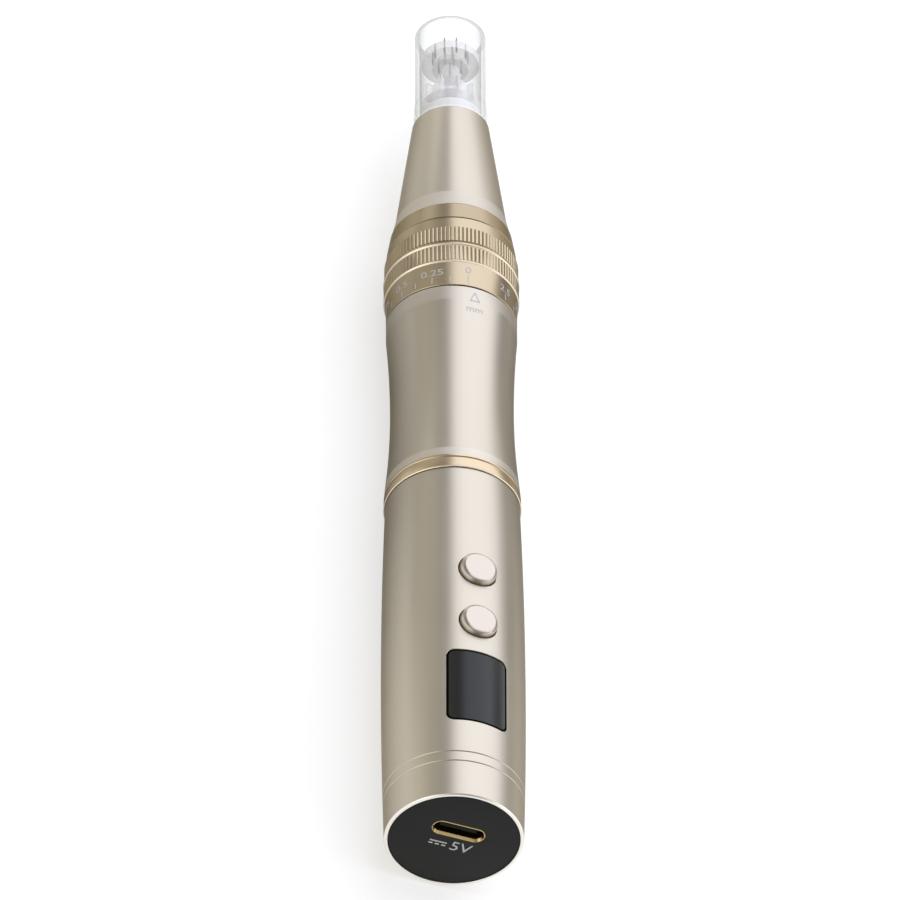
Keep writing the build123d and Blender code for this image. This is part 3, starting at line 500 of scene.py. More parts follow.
OUTWARD = 0.985  # cosine of how far a face may lean and still be part of the outside
CROWN_FLOOR = 9.6  # height over the axis that only the front of the window reaches
RIM_CLEAR = 0.3  # station from which the barrel has its crowned shape
WALL_NEAR = 0.03  # how close to that shape a face of the outside lies


def smooth_normals_round_axis(mesh, radius_at, slope_step=0.5):
    """True normals of a turned outer surface, so that openings cut in it don't dent its gloss."""
    normals = []
    corner_normals = mesh.corner_normals
    for polygon in mesh.polygons:
        centre = polygon.center
        outward = Vector((centre.x, 0, centre.z)).normalized()
        reach = math.hypot(centre.x, centre.z)
        wall = radius_at(min(max(centre.y, RIM_CLEAR), BARREL_END))
        on_surface = polygon.normal.dot(outward) > OUTWARD and abs(reach - wall) < WALL_NEAR
        for corner in polygon.loop_indices:
            if not on_surface:
                normals.append(corner_normals[corner].vector.copy())
                continue
            place = mesh.vertices[mesh.loops[corner].vertex_index].co
            low, high = max(place.y - slope_step, RIM_CLEAR), min(place.y + slope_step, BARREL_END)
            slope = (radius_at(high) - radius_at(low)) / (high - low)
            lean = -slope * math.hypot(place.x, place.z)
            normals.append(Vector((place.x, lean, place.z)).normalized())
    mesh.normals_split_custom_set(normals)


def crowned_normals(mesh, curl):
    """Gloss of a lens that is crowned more steeply across than the barrel that it fills."""
    normals = []
    corner_normals = mesh.corner_normals
    for polygon in mesh.polygons:
        centre = polygon.center
        outward = Vector((centre.x, 0, centre.z)).normalized()
        on_crown = centre.z > CROWN_FLOOR and polygon.normal.dot(outward) > OUTWARD
        for corner in polygon.loop_indices:
            place = mesh.vertices[mesh.loops[corner].vertex_index].co
            normal = corner_normals[corner].vector.copy()
            if on_crown:
                lean = curl * math.atan2(place.x, place.z)
                normal = Vector((math.sin(lean), normal.y, math.cos(lean))).normalized()
            normals.append(normal)
    mesh.normals_split_custom_set(normals)


BACK, FORWARD = -1, 1
FACING = 0.3  # cosine from which an edge counts as turned to an end of the pen


def cut_bright(piece, material, reaches, looks=BACK):
    """Give the edges of a piece that look back, or forward, between stations, a finish of their own; on the
    metal this is a painted highlight over a polished cut.
    """
    mesh = piece.data
    mesh.materials.append(material)
    for polygon in mesh.polygons:
        station = polygon.center.y / MM + MIDDLE_STATION
        if looks * polygon.normal.y > FACING and any(low < station < high for low, high in reaches):
            polygon.material_index = 1


def finish_band(piece, material, low, high):
    """Give the outside of a piece, between two stations, a finish of its own."""
    mesh = piece.data
    mesh.materials.append(material)
    for polygon in mesh.polygons:
        centre, normal = polygon.center, polygon.normal
        outward = centre.x * normal.x + (centre.z - AXIS_HEIGHT * MM) * normal.z > 0
        if outward and low < centre.y / MM + MIDDLE_STATION < high:
            polygon.material_index = len(mesh.materials) - 1


# Rear barrel

BUTTON_STATIONS = {"lower": 36.8, "upper": 48.0}
BUTTON_BORE = 3.25
WINDOW_STATION, WINDOW_WIDTH, WINDOW_LENGTH, WINDOW_CORNER = 23.0, 10.35, 14.9, 1.3
GROOVES = (7.05, 9.0)
GROOVE = 0.12  # depth, and half the width
OPENING_CHAMFER = 0.08
RIM_RADIUS, SEAT_RADIUS, SEAT_END = 11.03, 10.66, 2.6
BARREL_CHAMFER = 0.12
# Stations of the tail rim's faces that take the bright rim finish with its painted highlight
RIM_CUT = (-0.01, 0.21)


def barrel_outline():
    """Wall of the barrel, with its two fine grooves, rims and the seat for the end disc."""
    stations = [CROWN_REAR[1], 1.5, 3.0, 5.0]
    for groove in GROOVES:
        stations += [groove - GROOVE, groove, groove + GROOVE]
    stations += spaced(11.0, BARREL_END - BARREL_CHAMFER, 24)
    outline = [(SEAT_RADIUS, 0.0), (RIM_RADIUS, 0.0)]
    for station in stations:
        dip = GROOVE if station in GROOVES else 0.0
        outline.append((barrel_radius(station) - dip, station))
    outline += [(barrel_radius(BARREL_END) - BARREL_CHAMFER, BARREL_END), (BORE, BARREL_END),
                (BORE, SEAT_END), (SEAT_RADIUS, SEAT_END)]
    return outline


def barrel_openings():
    """Cutters for the window and the two button holes."""
    more = 2 * OPENING_CHAMFER
    window = rounded_face(WINDOW_WIDTH + 2 * more, WINDOW_LENGTH + 2 * more, WINDOW_CORNER + more)
    cutters = [opening_cutter(window, WINDOW_STATION, OPENING_CHAMFER, "window")]
    for station in BUTTON_STATIONS.values():
        hole = round_face(BUTTON_BORE + more)
        cutters.append(opening_cutter(hole, station, OPENING_CHAMFER, "button_hole"))
    return cutters


barrel_bm = turned(barrel_outline())
soften(barrel_bm, ((RIM_RADIUS, 0.0, 0.07), (*CROWN_REAR, 0.07), (SEAT_RADIUS, 0.0, 0.06)))
barrel = cut(mesh_from(barrel_bm, "barrel_blank", laid=False), barrel_openings(), "barrel")
creased(barrel, crease=24)
smooth_normals_round_axis(barrel, barrel_radius)
barrel.transform(LAID_DOWN)
barrel_piece = kept("barrel_shell", barrel, champagne, "handle", ["rear_barrel"])
# The tail rim's faces that look back: a polished cut with a painted highlight.
cut_bright(barrel_piece, polished_rim_with_highlight, (RIM_CUT,))


# Screen window

LENS_GAP = 0.1
LENS_SHOULDER, LENS_BEVEL = 0.16, 0.10
RIM_DEEP, SHOULDER_DEEP, CROWN_DEEP = 0.34, 0.16, 0.04  # below the barrel's front
LENS_BACK = 9.37  # height over the axis
LENS_SLICE, LENS_STEP = 0.65, 2.0  # strips across and along, with which it follows the barrel
LENS_CURL = 1.6  # how much more steeply its gloss turns than the barrel's


def window_lens():
    """Dark window that follows the barrel's crown, with a stepped black edge."""
    bm = rounded_face(WINDOW_WIDTH - 2 * LENS_GAP, WINDOW_LENGTH - 2 * LENS_GAP, WINDOW_CORNER - LENS_GAP)
    bmesh.ops.translate(bm, vec=(0, WINDOW_STATION, 0), verts=bm.verts[:])
    face = only_face(bm)
    rim = face.verts[:]
    bmesh.ops.inset_region(bm, faces=[face], thickness=LENS_SHOULDER, use_boundary=True, use_even_offset=True)
    shoulder = face.verts[:]
    bmesh.ops.inset_region(bm, faces=[face], thickness=LENS_BEVEL, use_boundary=True, use_even_offset=True)
    crown = face.verts[:]
    for verts, deep in ((rim, RIM_DEEP), (shoulder, SHOULDER_DEEP), (crown, CROWN_DEEP)):
        for vert in verts:
            vert.co.z = barrel_front(vert.co.x, vert.co.y) - deep
    close_open_rim(bm, LENS_BACK)
    for number in range(-7, 8):
        slice_through(bm, (LENS_SLICE * number, 0, 0), (1, 0, 0))
    for number in range(-3, 4):
        slice_through(bm, (0, WINDOW_STATION + LENS_STEP * number, 0), (0, 1, 0))
    edge = LENS_GAP + LENS_SHOULDER + LENS_BEVEL
    for vert in bm.verts:
        beside, along = abs(vert.co.x), abs(vert.co.y - WINDOW_STATION)
        inside = beside < WINDOW_WIDTH / 2 - edge and along < WINDOW_LENGTH / 2 - edge
        if inside and vert.co.z > CROWN_FLOOR:
            vert.co.z = barrel_front(vert.co.x, vert.co.y) - CROWN_DEEP
    mesh = mesh_from(bm, "window_lens", crease=20, laid=False)
    crowned_normals(mesh, LENS_CURL)
    mesh.transform(LAID_DOWN)
    return mesh


kept("window_lens", window_lens(), smoked_window, "handle", ["display_lens"])


# Buttons

CAP_RADIUS, CAP_TOP_RADIUS, CAP_STEPS = BUTTON_BORE - 0.10, 2.45, 96
SIDE_DROP, SHOULDER_DROP, TOP_DROP = 0.85, 0.31, 0.06  # below the top of the cap
SHOULDER_INSET, TOP_LEAN = 0.17, 0.16
FLANGE_TOP, FLANGE_RADIUS, FLANGE_THICKNESS, STEM_RADIUS = 9.507, 3.8, 0.8, 1.5
CAP_ROUND = 0.05


def button_cap(place, station):
    """Round cap with a straight side, a rounded shoulder and a flat top, on its flange."""
    low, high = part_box(f"button_{place}")
    foot, top = low.z / MM - AXIS_HEIGHT, high.z / MM - AXIS_HEIGHT
    side_end = (CAP_RADIUS, top - SIDE_DROP)
    shoulder = (CAP_RADIUS - SHOULDER_INSET, top - SHOULDER_DROP)
    outline = [(0.0, foot), (STEM_RADIUS, foot), (STEM_RADIUS, FLANGE_TOP - FLANGE_THICKNESS),
               (FLANGE_RADIUS, FLANGE_TOP - FLANGE_THICKNESS), (FLANGE_RADIUS, FLANGE_TOP),
               (CAP_RADIUS, FLANGE_TOP), side_end, shoulder,
               (CAP_TOP_RADIUS + TOP_LEAN, top - TOP_DROP), (CAP_TOP_RADIUS, top), (0.0, top)]
    bm = turned(outline, CAP_STEPS)
    soften(bm, [(*edge, CAP_ROUND) for edge in (side_end, (CAP_TOP_RADIUS, top), shoulder)], segments=2)
    quarter_turn(bm)
    bmesh.ops.translate(bm, vec=(0, station, 0), verts=bm.verts[:])
    return bm


for place, station in BUTTON_STATIONS.items():
    cap = mesh_from(button_cap(place, station), f"button_cap_{place}", crease=24)
    kept(f"button_cap_{place}", cap, rose_cap, f"{place}_button", [f"button_{place}"])


# Tail end and port

PORT_OFFSET, PORT_WIDTH, PORT_HEIGHT, PORT_WALL = 2.05, 8.94, 3.26, 0.33
PORT_GAP = 0.16  # across the port, between it and its slot
DISC_RADIUS, DISC_FACE, DISC_BACK = 10.64, 0.12, 2.52
SKIRT_RADIUS, SKIRT_BORE, SKIRT_END = 10.33, 9.15, 5.92
SLOT_START, SLOT_END = -1.0, 6.5
NOTCH_STATION, NOTCH_HEIGHT, NOTCH_LENGTH, NOTCH_THICKNESS = 5.0, 4.22, 4.0, 1.12
BOARD_GAP = 0.2
HAIR = 0.001


def round_ended(width, height):
    """Upright face with two round ends, which keep a hair of straight edge between their corners."""
    return quarter_turn(rounded_face(width, height, height / 2 - HAIR, segments=16))


def slot_bar(width, height, low, high):
    """Bar of round-ended section on the port's line, between two stations."""
    bm = round_ended(width, height)
    bmesh.ops.translate(bm, vec=(0, low, PORT_OFFSET), verts=bm.verts[:])
    grown = bmesh.ops.extrude_face_region(bm, geom=bm.faces[:])["geom"]
    bmesh.ops.translate(bm, vec=(0, high - low, 0), verts=only(BMVert, grown))
    return bm


def board_notch():
    """Block that clears the end of the main board in the disc's skirt."""
    low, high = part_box("main_board")
    bm = bmesh.new()
    bmesh.ops.create_cube(bm, size=1.0)
    size = ((high.x - low.x) / MM + BOARD_GAP, NOTCH_LENGTH, NOTCH_THICKNESS)
    bmesh.ops.scale(bm, vec=size, verts=bm.verts[:])
    bmesh.ops.translate(bm, vec=(0, NOTCH_STATION, NOTCH_HEIGHT), verts=bm.verts[:])
    return bm


disc_bm = turned([(0.0, DISC_FACE), (DISC_RADIUS, DISC_FACE), (DISC_RADIUS, DISC_BACK),
                  (SKIRT_RADIUS, DISC_BACK), (SKIRT_RADIUS, SKIRT_END), (SKIRT_BORE, SKIRT_END),
                  (SKIRT_BORE, DISC_BACK), (0.0, DISC_BACK)])
soften(disc_bm, ((DISC_RADIUS, DISC_FACE, 0.09),))
disc_blank = mesh_from(disc_bm, "disc_blank", laid=False)
port_slot = slot_bar(PORT_WIDTH + PORT_GAP, PORT_HEIGHT + PORT_GAP, SLOT_START, SLOT_END)
disc_cutters = [mesh_from(port_slot, "port_cut", laid=False),
                mesh_from(board_notch(), "notch_cut", laid=False)]
disc = creased(cut(disc_blank, disc_cutters, "tail_disc"), crease=30)
disc.transform(LAID_DOWN)
kept("tail_disc", disc, end_black, "handle", ["tail_cap"])

MOUTH_DEPTH, SHELL_DEPTH = 0.42, 6.93  # the opened mouth, and the straight shell behind it
MOUTH_BELOW, MOUTH_ABOVE = 0.24, 0.12  # how far the mouth is opened out
MOUTH_END = 1.2


def port_shell():
    """Folded shell of the charging port, its mouth opened out to guide a plug, most at the bottom."""
    bm = round_ended(PORT_WIDTH, PORT_HEIGHT)
    face = only_face(bm)
    bmesh.ops.inset_region(bm, faces=[face], thickness=PORT_WALL, use_boundary=True, use_even_offset=True)
    mouth = face.verts[:]
    bmesh.ops.delete(bm, geom=[face], context="FACES_ONLY")
    base = bm.faces[:]
    for depth in (MOUTH_DEPTH, SHELL_DEPTH):
        grown = bmesh.ops.extrude_face_region(bm, geom=base)["geom"]
        bmesh.ops.translate(bm, vec=(0, depth, 0), verts=only(BMVert, grown))
        base = only(BMFace, grown)
    for vert in mouth:
        vert.co.z += math.copysign(MOUTH_BELOW if vert.co.z < 0 else MOUTH_ABOVE, vert.co.z)
        if abs(vert.co.x) > PORT_WIDTH / 2 - MOUTH_END:
            vert.co.x += math.copysign(MOUTH_ABOVE, vert.co.x)
    bmesh.ops.translate(bm, vec=(0, DISC_FACE, PORT_OFFSET), verts=bm.verts[:])
    return mesh_from(bm, "port_shell")


kept("port_shell", port_shell(), port_brass, "handle", ["usb_shell"])


# Trim ring and grip

BEAD_RADIUS, BEAD_START, BEAD_END = 11.23, 70.32, 70.48
TRIM_RADIUS, TRIM_START, TRIM_END = 11.17, 70.95, 72.22
TRIM_FOOT, TRIM_GROOVE, TRIM_FRONT = (11.11, BARREL_END), (11.09, 70.6), (10.99, RING_END)
# Stations of the trim ring's lips that take the bright gold with its painted highlight
TRIM_CUTS = ((70.205, 70.40), (70.6, 71.0))

ring_bm = turned([(BORE, BARREL_END), TRIM_FOOT, (BEAD_RADIUS, BEAD_START), (BEAD_RADIUS, BEAD_END),
                  TRIM_GROOVE, (TRIM_RADIUS, TRIM_START), (TRIM_RADIUS, TRIM_END), TRIM_FRONT,
                  (BORE, RING_END)])
soften(ring_bm, ((BEAD_RADIUS, BEAD_START, 0.05), (BEAD_RADIUS, BEAD_END, 0.05),
                 (TRIM_RADIUS, TRIM_END, 0.08), (*TRIM_FRONT, 0.04)))
ring_mesh = mesh_from(ring_bm, "trim_ring")
ring_piece = kept("trim_ring", ring_mesh, ring_gold, "handle", ["mid_ring"])
# The ring's lips that look back: a polished cut with a painted highlight.
cut_bright(ring_piece, gold_lip_with_highlight, TRIM_CUTS)

GRIP_BORE = 9.32
GRIP_REAR, LIP_TOP, LIP_END = (11.0, RING_END), (11.12, 72.62), (11.0967, 72.95)
GRIP_EDGE, GRIP_FRONT = (WAIST_END[0], GRIP_END - 0.09), (10.67, GRIP_END)
WAIST_MARGIN = 0.3

grip_outline = [(GRIP_BORE, RING_END), GRIP_REAR, LIP_TOP, LIP_END, WAIST_START]
grip_outline += [(grip_radius(station), station)
                 for station in spaced(WAIST_START[1] + WAIST_MARGIN, WAIST_END[1] - WAIST_MARGIN, 24)]
grip_outline += [WAIST_END, GRIP_EDGE, GRIP_FRONT, (GRIP_BORE, GRIP_END)]
grip_bm = soften(turned(grip_outline), ((*GRIP_EDGE, 0.04), (*GRIP_FRONT, 0.02), (*LIP_TOP, 0.06)))
grip_mesh = mesh_from(grip_bm, "grip", crease=20)
grip_piece = kept("grip", grip_mesh, champagne, "handle", ["grip_sleeve"])
finish_band(grip_piece, ring_gold, RING_END + 0.01, LIP_END[1])
# The grip's rear band: a rougher finish, with a painted highlight in its paler tone.
finish_band(grip_piece, matte_band_with_painted_highlight, LIP_END[1], WAIST_START[1])
# The grip's front band: a rougher finish, with a painted highlight in its paler tone.
finish_band(grip_piece, satin_band_with_painted_highlight, WAIST_END[1], GRIP_END)


# Depth dial

TOOTH_STEPS, TOOTH_COUNT, TOOTH_DEPTH = 4, 100, 0.12  # steps of the turning that make a tooth
DIAL_BORE = SPINE_RADIUS + 0.05
REAR_KNURL, FRONT_KNURL = (115.62, 118.70), (119.90, 122.92)
REAR_KNURL_RADIUS, FRONT_KNURL_RADIUS = 11.10, 11.0
KNURLS = ((REAR_KNURL, REAR_KNURL_RADIUS), (FRONT_KNURL, FRONT_KNURL_RADIUS))
NEAR_KNURL = 0.01
SCALE_RADIUS = 10.75
FLARE = [(SCALE_RADIUS, 112.85), (10.89, 114.35), (10.94, 115.12)]
REAR_BEAD_RADIUS, REAR_BEAD = 11.14, (115.36, 115.50)
MIDDLE_BEAD_RADIUS, MIDDLE_BEAD = 11.16, (119.12, 119.36)
REAR_VALLEY, MIDDLE_VALLEY, DEEP_VALLEY = (11.02, 115.56), (10.92, 118.88), (10.74, 119.74)
O_RING_STATION, O_RING_HALF, O_RING_DEPTH = 123.45, 0.45, 0.9
# Stations of the dial's lips that take the bright gold with its painted highlight
DIAL_CUTS = ((115.10, 115.40), (118.86, 119.16))


def dial_radius(station):
    """Radius of the dial's smooth part, from the scale band over its flare."""
    places = [(SCALE_RADIUS, DIAL_START)] + FLARE
    for (inner, low), (outer, high) in zip(places, places[1:]):
        if station <= high:
            return inner + (outer - inner) * (station - low) / (high - low)
    return places[-1][0]


def dial_outline():
    """Scale band and flare, a bead, the rear knurl, a bead between valleys, the front knurl, the bore."""
    seat_radius = DIAL_BORE + O_RING_DEPTH
    seat_start, seat_end = O_RING_STATION - O_RING_HALF, O_RING_STATION + O_RING_HALF
    outline = [(DIAL_BORE, DIAL_START), (10.67, DIAL_START), (SCALE_RADIUS, DIAL_START + 0.08)] + FLARE
    outline += [(REAR_BEAD_RADIUS, station) for station in REAR_BEAD] + [REAR_VALLEY]
    outline += [(REAR_KNURL_RADIUS, station) for station in REAR_KNURL]
    outline += [(MIDDLE_VALLEY[0], 118.80), MIDDLE_VALLEY]
    outline += [(MIDDLE_BEAD_RADIUS, station) for station in MIDDLE_BEAD]
    outline += [(DEEP_VALLEY[0], 119.48), DEEP_VALLEY, (10.82, 119.82)]
    outline += [(FRONT_KNURL_RADIUS, station) for station in FRONT_KNURL]
    outline += [(10.80, 123.06), (10.64, 125.20), (10.50, DIAL_END), (DIAL_BORE, DIAL_END)]
    outline += [(DIAL_BORE, seat_end), (seat_radius, seat_end), (seat_radius, seat_start),
                (DIAL_BORE, seat_start)]
    return outline


def dial():
    """Turned dial with every fourth line of its two knurled bands pressed in."""
    bm = turned(dial_outline(), TOOTH_STEPS * TOOTH_COUNT)
    step = FULL_TURN / (TOOTH_STEPS * TOOTH_COUNT)
    for vert in bm.verts:
        reach = math.hypot(vert.co.x, vert.co.z)
        between_teeth = round(math.atan2(vert.co.x, vert.co.z) / step) % TOOTH_STEPS == 0
        for (low, high), radius in KNURLS:
            in_knurl = low - NEAR_KNURL < vert.co.y < high + NEAR_KNURL and abs(reach - radius) < NEAR_KNURL
            if between_teeth and in_knurl:
                share = (radius - TOOTH_DEPTH) / reach
                vert.co.x, vert.co.z = vert.co.x * share, vert.co.z * share
    soften(bm, ((REAR_BEAD_RADIUS, REAR_BEAD[0], 0.03), (MIDDLE_BEAD_RADIUS, MIDDLE_BEAD[0], 0.04),
                (MIDDLE_BEAD_RADIUS, MIDDLE_BEAD[1], 0.04)), segments=2)
    return mesh_from(bm, "dial_blank", laid=False)


TRACK_TURN, TRACK_RISE, TRACK_STEPS = math.radians(326), 2.547, 90
TRACK_START, TRACK_HALF, TRACK_DEPTH = 115.75, 0.75, 0.75
BELOW_BORE = 0.6  # how far the cutter reaches into the open bore


def track_cutter():
    """Left-handed helical track in the dial's bore, as a section screwed round the axis."""
    bm = bmesh.new()
    low, high = DIAL_BORE - BELOW_BORE, DIAL_BORE + TRACK_DEPTH
    corners = ((low, -TRACK_HALF), (high, -TRACK_HALF), (high, TRACK_HALF), (low, TRACK_HALF))
    section = [bm.verts.new((0, TRACK_START + along, -reach)) for reach, along in corners]
    for first, second in zip(section, section[1:] + section[:1]):
        bm.edges.new((first, second))
    bmesh.ops.spin(bm, geom=bm.verts[:] + bm.edges[:], cent=(0, 0, 0), axis=(0, 1, 0),
                   dvec=(0, TRACK_RISE / TRACK_STEPS, 0), angle=-TRACK_TURN, steps=TRACK_STEPS,
                   use_merge=False, use_duplicate=False)
    bmesh.ops.holes_fill(bm, edges=[edge for edge in bm.edges if edge.is_boundary], sides=4)
    return mesh_from(bm, "track_cutter", laid=False)


dial_mesh = creased(cut(dial(), [track_cutter()], "dial"), crease=26)
dial_mesh.transform(LAID_DOWN)
dial_piece = kept("depth_dial", dial_mesh, gold, "ring", ["depth_ring"])
# The dial's lips that look back: a polished cut with a painted highlight.
cut_bright(dial_piece, gold_lip_with_highlight, DIAL_CUTS)


# Collar and nose

SLEEVE_BORE, SLEEVE_END = 8.02, 133.42
COLLAR_REAR, COLLAR_SHOULDER = (10.45, COLLAR_START), (10.6, 125.5)
COLLAR_TAPER, COLLAR_FRONT = (10.06, 128.88), (9.96, NOSE_START)
NOSE_REAR, NOSE_SHOULDER, NOSE_BAND_END = (9.88, NOSE_START), (9.95, 129.08), (9.2, 132.5)
NOSE_TAPER, NOSE_RIM = (6.38, 154.05), (6.13, NOSE_END)
MOUTH_RADIUS, NECK_SEAT, RING_SEAT_RADIUS = 4.65, 145.7, 5.2

collar = turned([(SLEEVE_BORE, COLLAR_START), COLLAR_REAR, COLLAR_SHOULDER, COLLAR_TAPER, COLLAR_FRONT,
                 (SLEEVE_BORE, NOSE_START)])
kept("collar", mesh_from(collar, "collar", crease=24), deep_gold, "handle", ["front_collar"])

nose = turned([(SLEEVE_BORE, NOSE_START), NOSE_REAR, NOSE_SHOULDER, NOSE_BAND_END, NOSE_TAPER, NOSE_RIM,
               (MOUTH_RADIUS, NOSE_END), (MOUTH_RADIUS, NECK_SEAT), (RING_SEAT_RADIUS, NECK_SEAT),
               (RING_SEAT_RADIUS, SLEEVE_END), (SLEEVE_BORE, SLEEVE_END)])
soften(nose, ((*NOSE_BAND_END, 0.25), (*NOSE_TAPER, 0.10), (*NOSE_RIM, 0.06), (MOUTH_RADIUS, NOSE_END, 0.12)))
nose_mesh = mesh_from(nose, "nose", crease=24)
nose_piece = kept("nose", nose_mesh, champagne, "handle", ["nose_cone"])
# The nose's rear band: a rougher finish, with a painted highlight in its paler tone.
finish_band(nose_piece, matte_band_with_painted_highlight, NOSE_START, NOSE_BAND_END[1])


# Clear cartridge

WALL_RADIUS, WALL_BORE, WALL_EDGE, WALL_RIM = 5.88, 5.10, (5.88, TIP - 0.18), (5.70, TIP)
FOOT_RADIUS, FOOT_SEAM, FOOT_END, FOOT_ROUND = 6.03, 154.75, 158.52, 0.15
NECK_BORE, NECK_RADIUS, NECK_START, NECK_CHAMFER = 3.2, 4.6, 145.72, 0.25
GROOVE_RADIUS, GROOVE_STATION, GROOVE_HALF = 3.85, 152.32, 0.375
CORE_RADIUS, CORE_START, CORE_END = 5.08, FOOT_SEAM - 0.02, 157.2
RIM_LOOK = (TIP - 0.4, TIP + 0.01)

wall = turned([(WALL_BORE, FOOT_SEAM), (FOOT_RADIUS, FOOT_SEAM), (FOOT_RADIUS, FOOT_END),
               (WALL_RADIUS, FOOT_END + FOOT_ROUND), WALL_EDGE, WALL_RIM, (WALL_BORE, TIP)])
soften(wall, ((*WALL_EDGE, 0.12), (*WALL_RIM, 0.12), (WALL_BORE, TIP, 0.16)))
wall_mesh = mesh_from(wall, "clear_cartridge", crease=24)
wall_piece = kept("clear_cartridge", wall_mesh, clear_shell, "cartridge",
                  ["cartridge_shell"])
cut_bright(wall_piece, clear_rim, (RIM_LOOK,), looks=FORWARD)

groove_start, groove_end = GROOVE_STATION - GROOVE_HALF, GROOVE_STATION + GROOVE_HALF
neck = turned([(NECK_BORE, NECK_START), (NECK_RADIUS - NECK_CHAMFER, NECK_START),
               (NECK_RADIUS, NECK_START + NECK_CHAMFER), (NECK_RADIUS, groove_start),
               (GROOVE_RADIUS, groove_start), (GROOVE_RADIUS, groove_end), (NECK_RADIUS, groove_end),
               (NECK_RADIUS, CARTRIDGE_START), (FOOT_RADIUS, CARTRIDGE_START), (FOOT_RADIUS, CORE_START),
               (CORE_RADIUS, CORE_START), (CORE_RADIUS, CORE_END), (NECK_BORE, CORE_END)])
soften(neck, ((FOOT_RADIUS, CARTRIDGE_START, FOOT_ROUND),))
neck_mesh = mesh_from(neck, "cartridge_neck", crease=24)
kept("cartridge_neck", neck_mesh, neck_plastic, "cartridge", ["cartridge_shell"])


# Printed marks

INK = 0.02  # thickness of a mark, before it is laid on
CAPITAL_SHARE = 0.70  # of the type's size
SLICE = 0.3  # strips across, with which a mark follows its surface


def flat_words(words, height, stretch=1.0):
    """Words as a thin closed mesh, centred, with their letters a height tall."""
    curve = bpy.data.curves.new("words", "FONT")
    curve.body = words
    curve.size = height / CAPITAL_SHARE
    curve.align_x, curve.align_y = "CENTER", "CENTER"
    curve.resolution_u = 3
    curve.extrude = INK / 2
    holder = bpy.data.objects.new("words", curve)
    bpy.context.scene.collection.objects.link(holder)
    ready = holder.evaluated_get(bpy.context.evaluated_depsgraph_get())
    flat = bpy.data.meshes.new_from_object(ready)
    bpy.data.objects.remove(holder)
    bm = bmesh.new()
    bm.from_mesh(flat)
    bmesh.ops.scale(bm, vec=(stretch, 1, 1), verts=bm.verts[:])
    bmesh.ops.remove_doubles(bm, verts=bm.verts[:], dist=SPUN_DOUBLES)
    return bm


def flat_bar(width, length, across=0.0, along=0.0):
    """Small flat bar, thin and closed."""
    bm = bmesh.new()
    bmesh.ops.create_cube(bm, size=1.0)
    bmesh.ops.scale(bm, vec=(width, length, INK), verts=bm.verts[:])
    bmesh.ops.translate(bm, vec=(across, along, 0), verts=bm.verts[:])
    return bm


def joined(parts):
    """Several small meshes in one."""
    whole = bmesh.new()
    for part in parts:
        mesh = bpy.data.meshes.new("part")
        part.to_mesh(mesh)
        part.free()
        whole.from_mesh(mesh)
        bpy.data.meshes.remove(mesh)
    return whole


def wrapped(bm, azimuth, station, radius_at, lift=0.012):
    """Lay a flat mark on a turned surface, its middle at an azimuth and a station."""
    widest = max(abs(vert.co.x) for vert in bm.verts)
    slices = int(widest / SLICE)
    for number in range(-slices, slices + 1):
        slice_through(bm, (SLICE * number, 0, 0), (1, 0, 0))
    for vert in bm.verts:
        along = station + vert.co.y
        radius = radius_at(along)
        angle = math.radians(azimuth) + vert.co.x / radius
        reach = radius + lift + vert.co.z
        vert.co = (reach * math.sin(angle), along, reach * math.cos(angle))
    return bm


SCALE_STEPS, STEP_VALUE = 10, 0.25
MARK_START, MARK_STEP = -6.0, -32.0  # degrees round the pen
TICK_START = 110.82
TICK_WIDTH, ZERO_TICK, LONG_TICK, SHORT_TICK = 0.16, 1.95, 1.4, 1.3
FIGURE_HEIGHT, FIGURE_GAP, FIGURE_STRETCH = 1.2, 0.85, 1.35


def scale_marks():
    """Figures and ticks of the depth scale, with a short tick half way between figures."""
    marks = []
    for number in range(SCALE_STEPS + 1):
        azimuth = MARK_START + MARK_STEP * number
        length = ZERO_TICK if number == 0 else LONG_TICK
        figure = flat_words(f"{STEP_VALUE * number:g}", FIGURE_HEIGHT, FIGURE_STRETCH)
        marks.append(wrapped(figure, azimuth, TICK_START + length + FIGURE_GAP, dial_radius))
        marks.append(wrapped(flat_bar(TICK_WIDTH, length), azimuth, TICK_START + length / 2, dial_radius))
        if number < SCALE_STEPS:
            half_way = flat_bar(TICK_WIDTH, SHORT_TICK)
            marks.append(wrapped(half_way, azimuth + MARK_STEP / 2, TICK_START + SHORT_TICK / 2, dial_radius))
    return joined(marks)


kept("dial_marks", mesh_from(scale_marks(), "dial_marks"), dial_print, "ring")

POINTER_STATION, UNIT_STATION = 107.85, 105.5
POINTER_REACH, POINTER_SHAPE, POINTER_LINE = 1.25, (0.85, 1.15, 1), 0.17


def pointer():
    """Outlined triangle that points at the dial."""
    bm = bmesh.new()
    bmesh.ops.create_circle(bm, cap_ends=True, radius=POINTER_REACH, segments=3)
    bmesh.ops.scale(bm, vec=POINTER_SHAPE, verts=bm.verts[:])
    face = only_face(bm)
    bmesh.ops.inset_region(bm, faces=[face], thickness=POINTER_LINE, use_boundary=True, use_even_offset=True)
    bmesh.ops.delete(bm, geom=[face], context="FACES_ONLY")
    grown = bmesh.ops.extrude_face_region(bm, geom=bm.faces[:])["geom"]
    bmesh.ops.translate(bm, vec=(0, 0, INK), verts=only(BMVert, grown))
    bmesh.ops.translate(bm, vec=(0, 0, -INK / 2), verts=bm.verts[:])
    return bm


def grip_front_radius(station):
    """Radius of the grip where its marks are printed."""
    radius, end = WAIST_END
    return grip_radius(station) if station < end else radius


unit = flat_words("mm", 1.15, stretch=1.2)
grip_marks = joined([wrapped(pointer(), 0.0, POINTER_STATION, grip_front_radius),
                     wrapped(unit, 0.0, UNIT_STATION, grip_front_radius)])
kept("grip_marks", mesh_from(grip_marks, "grip_marks"), grip_print, "handle")

